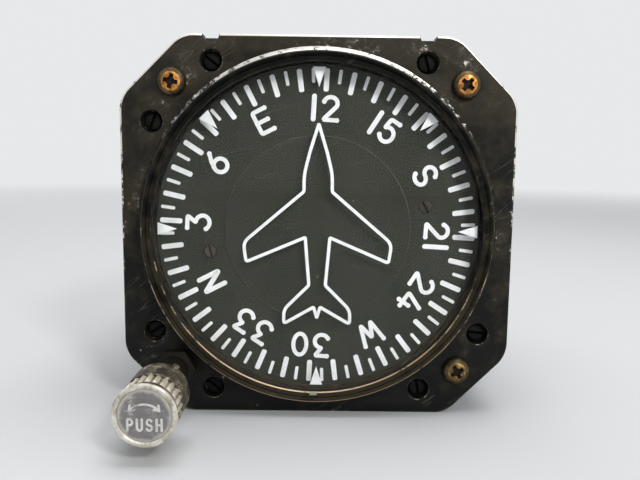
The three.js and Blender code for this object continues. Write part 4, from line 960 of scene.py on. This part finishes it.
def make_word(name, word, height, width, gap, models, slim=1.0):
    """A word centred on the origin. Each letter is modelled once, and kept in models for the next word."""
    widths = [GLYPHS[letter][0] * slim * (height - width) for letter in word]
    left = -(sum(widths) + (gap + width) * (len(word) - 1)) / 2
    pieces = []
    for letter, span in zip(word, widths):
        if letter not in models:
            models[letter] = make_glyph(letter, height, width, slim)
        pieces.append(moved(copy_of(models[letter], f"{name}_{letter}"), x=left))
        left += span + gap + width
    return join(name, pieces)


def clear_models(models):
    for model in models:
        bpy.data.objects.remove(model)


# Dial

def make_dial():
    front, back, radius, _ = measure("dial_card")
    edge = 0.15 * MM
    card = turned("dial_card_dressed", [
        (0, front), (radius - edge, front), (radius, front + edge), (radius, back), (0, back)], closed=False)
    finish_piece(dress(smooth(card), dial_paint), "dial", "dial_paint", "dial_card")
    make_hub_disc()
    first = slotted_screw(
        "dial_screw", dial_screw_metal, head=1.5 * MM, thick=0.4 * MM, shank=0.8 * MM, reach=2.2 * MM, dome=0.6,
        slot=0.42 * MM)
    for number, turn in ((1, 60), (2, 75)):
        x, z = middle_of(f"dial_screw_{number}")
        screw = moved(copy_of(first, f"dial_screw_{number}_dressed"), x, front, z, turn)
        finish_piece(screw, "dial", "black_paint", f"dial_screw_{number}")
    bpy.data.objects.remove(first)


def make_hub_disc():
    front, back, radius, _ = measure("dial_hub_disc")
    bead = 0.12 * MM
    disc = turned("dial_hub_disc_dressed", [
        (0, front), (radius - bead, front), (radius, front + bead), (radius, back), (0, back)], closed=False)
    dress(disc, dial_paint, hub_edge_highlight)
    # The bead takes the lighter colour, a painted highlight
    colour_faces(disc, 1, lambda spot, normal: abs(normal.y) < 0.9 and spot.y < front + bead)
    finish_piece(smooth(disc), "dial", "dial_paint", "dial_hub_disc")


def make_ticks():
    front = front_of("dial_card")
    models = []
    for width, length in (LONG_TICK, SHORT_TICK):
        bar = block("tick", (width, MARK_THICK, length), (0, front - MARK_THICK / 2, TICK_OUTER - length / 2))
        cut_edges(bar, 0.36 * width, 3, lambda a, b: abs(a.y - b.y) > MARK_THICK / 2)
        models.append(bar)
    ticks = []
    for index in range(TICKS):
        turn = 360 / TICKS * index - HEADING
        ticks.append(moved(copy_of(models[index % 2], "tick"), z=MIDDLE[1], turn=turn))
    clear_models(models)
    finish_piece(dress(join("dial_ticks", ticks), white), "dial", "dial_paint")


def make_labels():
    front = front_of("dial_card")
    models, labels = {}, []
    for index, word in enumerate(LABELS):
        label = make_word(f"label_{word}", word, LABEL_HEIGHT, LABEL_STROKE, LABEL_GAP, models)
        turn = 360 / len(LABELS) * index - HEADING
        labels.append(moved(moved(label, 0, front, LABEL_RADIUS), z=MIDDLE[1], turn=turn))
    clear_models(models.values())
    finish_piece(dress(smooth(join("dial_numerals", labels), 60), white), "dial", "dial_paint")


def make_index_marks():
    """Triangles at the edge of the glass, on its inner face."""
    back = back_of("cover_glass")
    marks = []
    for turn in INDEX_ANGLES:
        deselect()
        bpy.ops.mesh.primitive_cylinder_add(vertices=3, radius=1, depth=1, rotation=(math.pi / 2, 0, 0))
        mark = done(bpy.context.object, "index_mark")
        corners = [vertex.co for vertex in mark.data.vertices]
        across = 2 * max(spot.x for spot in corners)
        tall = max(spot.z for spot in corners) - min(spot.z for spot in corners)
        point_up = sum(spot.z for spot in corners if abs(spot.x) < 0.01) > 0
        mark.scale = (INDEX_WIDTH / across, MARK_THICK, (-1 if point_up else 1) * INDEX_LENGTH / tall)
        done(mark)
        top = max(vertex.co.z for vertex in mark.data.vertices)
        moved(mark, 0, back + MARK_THICK / 2 + PAINT_GAP, INDEX_RADIUS - top)
        marks.append(moved(mark, z=MIDDLE[1], turn=turn))
    whole = join("index_marks", marks)
    edit(whole, chosen="SELECT")
    bpy.ops.mesh.normals_make_consistent(inside=False)
    deselect()
    finish_piece(dress(whole, white), "root", "dial_paint")


def make_aeroplane():
    right = [(x * MM, z * MM, reach * MM) for x, z, reach in AEROPLANE]
    left = [(-x, z, reach) for x, z, reach in reversed(right[1:-1])]
    points, reaches = [spot[:2] for spot in right + left], [spot[2] for spot in right + left]
    whole = stroke("aeroplane_outline", points, AEROPLANE_STROKE, 2 * MARK_THICK, True, reaches)
    moved(whole, 0, back_of("cover_glass") + MARK_THICK + PAINT_GAP, MIDDLE[1])
    finish_piece(dress(smooth(whole, 60), white), "root", "dial_paint")


# Knob

def make_knob():
    front, back, _, _ = measure("knob_body")
    ring_back = front + RING_THICK
    knurl_front = ring_back + GROOVE_WIDTH
    knurl_back = knurl_front + KNURL_WIDTH
    lip, step, bore = 0.3 * MM, 0.2 * MM, 1.6 * MM
    ring = turned("knob_ring", [
        (0, front + FACE_RECESS), (FACE_RADIUS, front + FACE_RECESS), (FACE_RADIUS, front + lip),
        (FACE_RADIUS + lip, front), (KNOB_RING - lip, front), (KNOB_RING, front + lip), (KNOB_RING, ring_back - lip),
        (KNOB_RING - lip, ring_back), (KNOB_GROOVE, ring_back), (KNOB_GROOVE, knurl_front + MM),
        (0, knurl_front + MM)], KNOB, MEDIUM, closed=False)
    dress(smooth(ring), knob_ring_metal)
    knurl = barrel("knurl", KNOB_RADIUS, knurl_front, knurl_back, KNOB, 2 * KNURL_RIDGES)
    draw_in(knurl, (front + back) / 2)
    dress(soften(knurl, 0.16 * MM, 2, 18), knob_metal)
    body = turned("knob_barrel", [
        (0, knurl_back - MM), (KNURL_ROOT - step, knurl_back - MM), (KNURL_ROOT - step, knurl_back),
        (KNOB_RADIUS - step, knurl_back), (KNOB_RADIUS, knurl_back + step), (KNOB_RADIUS, back - 0.5 * MM),
        (KNOB_RADIUS - 0.5 * MM, back), (bore, back), (bore, back - MM), (0, back - MM)], KNOB, MEDIUM, closed=False)
    dress(smooth(body), knob_barrel)
    finish_piece(join("knob_dressed", [ring, knurl, body]), "knob", "knob_metal", "knob_body")


def draw_in(knurl, middle):
    """Draws every other edge of the barrel in, so that ridges stand between them."""
    def between(corner):
        angle = math.atan2(corner.co.z - KNOB[1], corner.co.x - KNOB[0])
        return round(angle / (2 * math.pi) * 2 * KNURL_RIDGES) % 2 == 1

    pick(knurl, "VERT", "verts", between)
    share = KNURL_ROOT / KNOB_RADIUS
    bpy.ops.transform.resize(value=(share, 1, share), center_override=(KNOB[0], middle, KNOB[1]))
    deselect()


def make_knob_face_disc():
    front, back, _, _ = measure("knob_face_disc")
    edge, gap = 0.15 * MM, 0.02 * MM
    disc = turned("knob_face_dressed", [
        (0, front), (FACE_RADIUS - edge, front), (FACE_RADIUS - gap, front + edge), (FACE_RADIUS - gap, back),
        (0, back)], KNOB, MEDIUM, closed=False)
    finish_piece(dress(smooth(disc), knob_face), "knob", "knob_disc", "knob_face_disc")
    models = {}
    word = make_word("knob_word", "PUSH", PUSH_HEIGHT, PUSH_STROKE, PUSH_GAP, models, slim=0.74)
    clear_models(models.values())
    moved(word, KNOB[0], front, KNOB[1] - PUSH_DROP)
    marks = join("knob_marks", [word, moved(make_arrow(), KNOB[0], front, KNOB[1])])
    finish_piece(dress(smooth(marks, 60), worn_white), "knob", "knob_disc")


def make_arrow():
    """A curved arrow with a head at each end, for turning either way."""
    radius, drop, start, end = 3.82 * MM, 1.62 * MM, 137, 43
    barb, splay = MM, 34
    curve = bow(0, -drop, radius, radius, start, end, 14)
    pieces = [stroke("arrow", curve, PUSH_STROKE, 2 * MARK_THICK)]
    for tip, ahead in ((curve[0], start + 90), (curve[-1], end - 90)):
        barbs = [math.radians(ahead + 180 + side * splay) for side in (-1, 1)]
        ends = [(tip[0] + barb * math.cos(angle), tip[1] + barb * math.sin(angle)) for angle in barbs]
        pieces.append(stroke("arrow_head", [ends[0], tip, ends[1]], PUSH_STROKE, 2 * MARK_THICK))
    return join("arrow", pieces)


def make_knob_details():
    finish_piece(refined("knob_set_screw", 0.12 * MM, knob_barrel), "knob", "steel", "knob_set_screw")
    front, back, _, _ = measure("knob_shaft")
    shoulder, thick, thin = FACE + 19.2 * MM, 1.5 * MM, 1.2 * MM
    shaft = turned("knob_shaft_dressed", [
        (0, front), (thick, front), (thick, shoulder), (thin, shoulder), (thin, back), (0, back)],
        KNOB, SMALL, closed=False)
    finish_piece(dress(smooth(shaft), steel), "knob", "steel", "knob_shaft")
    finish_piece(refined("knob_bushing", 0.2 * MM, dark_brass), "root", "brass", "knob_bushing")


def make_knob_spring():
    """The spring shortens towards its inner end as the knob is pushed; here it is a smoothed steel copy of its node,
    with a mesh of its own.
    """
    spring = copy_of_node("knob_spring")
    dress(smooth(done(spring), 60), steel)
    finish_piece(spring, "root", "steel", "knob_spring")
    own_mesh(spring)


# Housing, case and rear

def make_housing():
    housing = refined("front_housing", 0.4 * MM, case_paint, case_edge, segments=3, angle=30)
    finish_piece(housing, "root", "black_paint", "front_housing")
    finish_piece(refined("flange_gasket", 0.05 * MM, rubber), "root", "rubber", "flange_gasket")


def make_case():
    """The case tube, with a sunk bead near each end."""
    front, back, radius, _ = measure("case_tube")
    bore, bead, groove = 39.4 * MM, 0.35 * MM, 6 * MM
    first = [(radius, groove), (radius - bead, groove + bead), (radius - bead, groove + 3 * bead),
             (radius, groove + 4 * bead)]
    tube = turned("case_tube_dressed", [
        (bore, front), (radius - bead, front), (radius, front + bead), *((reach, front + y) for reach, y in first),
        *((reach, back - y) for reach, y in reversed(first)), (radius, back - bead), (radius - bead, back),
        (bore, back)])
    finish_piece(dress(smooth(tube), case_paint), "root", "black_paint", "case_tube")
    make_case_screws(radius, (front + groove / 2, back - groove / 2))


def make_case_screws(radius, rows):
    """Round-headed screws through the ends of the case."""
    model = slotted_screw(
        "case_screw", dark_steel, head=1.7 * MM, thick=0.7 * MM, shank=0.9 * MM, reach=1.6 * MM, dome=0.5,
        slot=0.4 * MM)
    tipped(model, -90)  # the head now points up
    sunk = 0.05 * MM
    screws = []
    for row in rows:
        for turn in range(30, 360, 60):
            screw = moved(copy_of(model, "case_screw"), 0, row, radius - sunk)
            screws.append(moved(screw, z=MIDDLE[1], turn=turn))
    bpy.data.objects.remove(model)
    finish_piece(join("case_screws", screws), "root", "steel")


def round_middle(radius, degrees):
    """A place at a radius and an angle round the instrument's axis, in x and z."""
    angle = math.radians(degrees)
    return radius * math.cos(angle), MIDDLE[1] + radius * math.sin(angle)


def make_rear_cover():
    gasket_back = back_of("rear_gasket")
    front, back, radius, _ = measure("rear_cover")
    edge = 0.6 * MM
    spigot_bore, spigot = 35 * MM, 39.1 * MM
    line_outer, line_inner, line_depth = 31.5 * MM, 30.1 * MM, 0.3 * MM
    hole_radius, hole_circle, screw_circle = 2.6 * MM, 9 * MM, 36 * MM
    cover = turned("rear_cover_dressed", [
        (spigot_bore, front), (spigot, front), (spigot, gasket_back), (radius, gasket_back), (radius, back - edge),
        (radius - 0.3 * edge, back - 0.3 * edge), (radius - edge, back), (line_outer, back),
        (line_outer - line_depth, back - line_depth), (line_inner + line_depth, back - line_depth),
        (line_inner, back), (0, back), (0, gasket_back), (spigot_bore, gasket_back)], closed=False)
    dress(cover, case_paint, case_edge)
    carve(cover, *(barrel("hole", hole_radius, gasket_back - MM, back + MM, round_middle(hole_circle, degrees))
                   for degrees in range(0, 360, 60)))
    finish_piece(smooth(cover), "root", "black_paint", "rear_cover")
    model = slotted_screw(
        "frame_screw", steel, head=2.1 * MM, thick=1.1 * MM, shank=1.1 * MM, reach=2 * MM, dome=0.4, slot=0.5 * MM)
    tipped(model, 180)  # the head now points back
    screws = []
    for number, degrees in enumerate((45, 135, 225, 315)):
        x, z = round_middle(screw_circle, degrees)
        screws.append(moved(copy_of(model, "frame_screw"), x, back, z, 50 * number))
    bpy.data.objects.remove(model)
    finish_piece(join("frame_screws", screws), "root", "steel")


def make_filter_cap():
    """The cap over the air filter, with slots round its side."""
    front, back, outer, middle = measure("filter_cap")
    wall, hub, bore, step = 1.5 * MM, 6 * MM, 1.8 * MM, 0.3 * MM
    opening = (4 * MM, 5 * MM, 2.4 * MM)  # through the wall, along the cap and round it
    cap = turned("filter_cap_dressed", [
        (outer - wall, front), (outer, front), (outer, back - wall), (outer - 0.3 * wall, back - 0.3 * wall),
        (outer - wall, back), (hub, back), (hub - 0.4 * MM, back - step), (bore, back - step), (bore, back - wall),
        (outer - wall, back - wall)], middle, 96)
    slots = []
    for turn in range(0, 360, 30):
        slot = block("slot", opening, (outer - wall / 2, (front + back - wall) / 2, 0))
        slots.append(moved(slot, middle[0], 0, middle[1], turn))
    carve(cap, *slots)
    finish_piece(dress(smooth(cap), case_paint), "root", "black_paint", "filter_cap")


def make_rear_fittings():
    finish_piece(refined("filter_screw", 0.3 * MM, steel), "root", "steel", "filter_screw")
    finish_piece(refined("port_plug", 0.4 * MM, aluminium), "root", "cast_aluminium", "port_plug")


def make_port():
    """The suction port: a hexagonal foot and a barbed nipple."""
    port_back = back_of("vacuum_port")
    centre = (0.0, middle_of("vacuum_port")[1])
    foot_front = back_of("rear_cover")
    foot_radius, foot_thick = 7 * MM, 4.5 * MM
    foot_back = foot_front + foot_thick
    foot = barrel("nut", foot_radius, foot_front, foot_back, centre, 6, math.pi / 6)
    soften(foot, 0.4 * MM, 3)
    neck, bore, rise, pitch, barbs = 3.7 * MM, 2.6 * MM, 0.8 * MM, 3.2 * MM, 4
    first = port_back - barbs * pitch - rise
    profile = [(bore, foot_back - MM), (neck, foot_back - MM), (neck, first)]
    for barb in range(barbs):
        start = first + barb * pitch
        profile += [(neck + 0.8 * rise, start + 0.1 * MM), (neck + rise, start + 0.35 * MM), (neck, start + pitch)]
    profile += [(neck - 0.4 * MM, port_back), (bore + 0.2 * MM, port_back), (bore, port_back - 0.3 * MM)]
    nipple = turned("nipple", profile, centre, MEDIUM)
    carve(foot, barrel("bore", bore, foot_front - MM, foot_back + MM, centre))
    port = smooth(join("vacuum_port_dressed", [foot, nipple]))
    finish_piece(dress(port, aluminium), "root", "cast_aluminium", "vacuum_port")


# Pieces inside keep their own shapes

INNER_FINISHES = (
    (aluminium, ("bridge_plate", "gimbal_support_frame", "dial_hub", "outer_gimbal", "inner_gimbal")),
    (brass, ("dial_bearing", "idler_gear", "dial_setting_gear", "dial_bevel_gear", "gimbal_bevel_gear", "air_nozzle",
             "rotor", "knob_pinion")),
    (steel, ("idler_stud", "outer_gimbal_bearing_1", "outer_gimbal_bearing_2", "dial_shaft", "dial_shaft_clip",
             "inner_gimbal_bearing_1", "inner_gimbal_bearing_2", "rotor_bearing_1", "rotor_bearing_2", "rotor_shaft",
             "caging_arm", "shaft_clip")),
    (felt, ("air_filter_element",)),
)


def finish_inner_pieces():
    for finish, nodes in INNER_FINISHES:
        for node in nodes:
            dress(frame["nodes"][node], finish)


# Floor, light and camera

PALE = (0.8, 0.81, 0.82)
AMBIENT = (0.9, 0.92, 0.95)
AMBIENT_LEVEL = 0.3
FLOOR_RADIUS = 1.2
FLOOR_FADE = (0.35, 1.1)  # where the floor begins to fade into the backdrop, and where it is gone
LAMPS = (  # name, place, size, watts and what it points at
    ("key_lamp", (0.24, -0.5, 0.38), 0.1, 1.4, (0, FACE, MIDDLE[1])),
    ("top_lamp", (0.1, -0.02, 0.7), 0.5, 2.8, (0, 0, 0)),
    ("back_lamp", (-0.3, 0.6, 0.5), 0.5, 1.2, (0, 0.05, 0.04)),
)


def make_floor():
    deselect()
    bpy.ops.mesh.primitive_circle_add(vertices=96, radius=FLOOR_RADIUS, fill_type="NGON", location=(0, 0, 0))
    floor = bpy.context.object
    floor.name = "floor"
    made, tree, shader = material("pale_floor")
    place = place_in(tree)
    tone = noise(tree, place, 3.0, 2.0)
    fill(shader, {
        "Base Color": blend_colours(tree, tone, (0.74, 0.75, 0.76), (0.77, 0.78, 0.79)), "Roughness": 0.85})
    away = add(tree, "ShaderNodeVectorMath", {0: place}, operation="LENGTH").outputs["Value"]
    blend_shaders(tree, spread(tree, away, *FLOOR_FADE), shader, add(tree, "ShaderNodeBsdfTransparent"))
    dress(floor, made)


def make_lamps():
    for name, place, size, watts, target in LAMPS:
        deselect()
        bpy.ops.object.light_add(type="AREA", location=place)
        lamp = bpy.context.object
        lamp.name = name
        lamp.data.size = size
        lamp.data.energy = watts
        lamp.rotation_euler = (Vector(target) - Vector(place)).to_track_quat("-Z", "Y").to_euler()


def make_backdrop():
    """Pale to the camera and in reflections, and a soft light for everything else."""
    world = bpy.data.worlds.new("studio")
    bpy.context.scene.world = world
    world.use_nodes = True
    tree = world.node_tree
    ambient = fill(tree.nodes["Background"], {"Color": (*AMBIENT, 1), "Strength": AMBIENT_LEVEL})
    seen = add(tree, "ShaderNodeBackground", {"Color": (*PALE, 1), "Strength": 1.0})
    rays = add(tree, "ShaderNodeLightPath").outputs
    bounced = plus(tree, rays["Is Glossy Ray"], rays["Is Transmission Ray"])
    direct = plus(tree, rays["Is Camera Ray"], bounced, True)
    blend_shaders(tree, direct, ambient, seen, "World Output")


# The camera's place against the instrument, found from the photograph
PHOTO_WIDTH = 640
FOCAL_PIXELS = 680
SENSOR = 36.0
CAMERA_TILT, CAMERA_YAW, CAMERA_ROLL = 0.129, 0.005, 0.012
CAMERA_OFFSET = Vector((-0.513, 149.18, 2.248)) * MM  # from the camera to the middle of the flange's face


def make_camera():
    turns = ((CAMERA_ROLL, "Y"), (CAMERA_TILT, "X"), (CAMERA_YAW, "Z"))
    roll, tilt, yaw = (Matrix.Rotation(angle, 3, axis) for angle, axis in turns)
    back = (roll @ tilt @ yaw).transposed()
    right, ahead, up = (back @ Vector(axis) for axis in ((1, 0, 0), (0, 1, 0), (0, 0, 1)))
    deselect()
    bpy.ops.object.camera_add(location=Vector((MIDDLE[0], FACE, MIDDLE[1])) - back @ CAMERA_OFFSET)
    camera = bpy.context.object
    camera.name = "photo_camera"
    camera.rotation_euler = Matrix((right, up, -ahead)).transposed().to_euler()
    camera.data.sensor_width = SENSOR
    camera.data.lens = SENSOR * FOCAL_PIXELS / PHOTO_WIDTH
    camera.data.clip_start = MM
    bpy.context.scene.camera = camera


make_flange()
make_retainer()
make_cover_glass()
make_seal("glass_gasket", 0.75 * MM)
make_flange_screws()
make_mounting_screws()
make_dial()
make_ticks()
make_labels()
make_index_marks()
make_aeroplane()
make_knob()
make_knob_face_disc()
make_knob_details()
make_knob_spring()
make_housing()
make_case()
make_seal("rear_gasket", 1.8 * MM)
make_rear_cover()
make_filter_cap()
make_rear_fittings()
make_port()
finish_inner_pieces()
make_floor()
make_lamps()
make_backdrop()
make_camera()

bpy.context.scene.view_settings.view_transform = "Standard"
deselect()
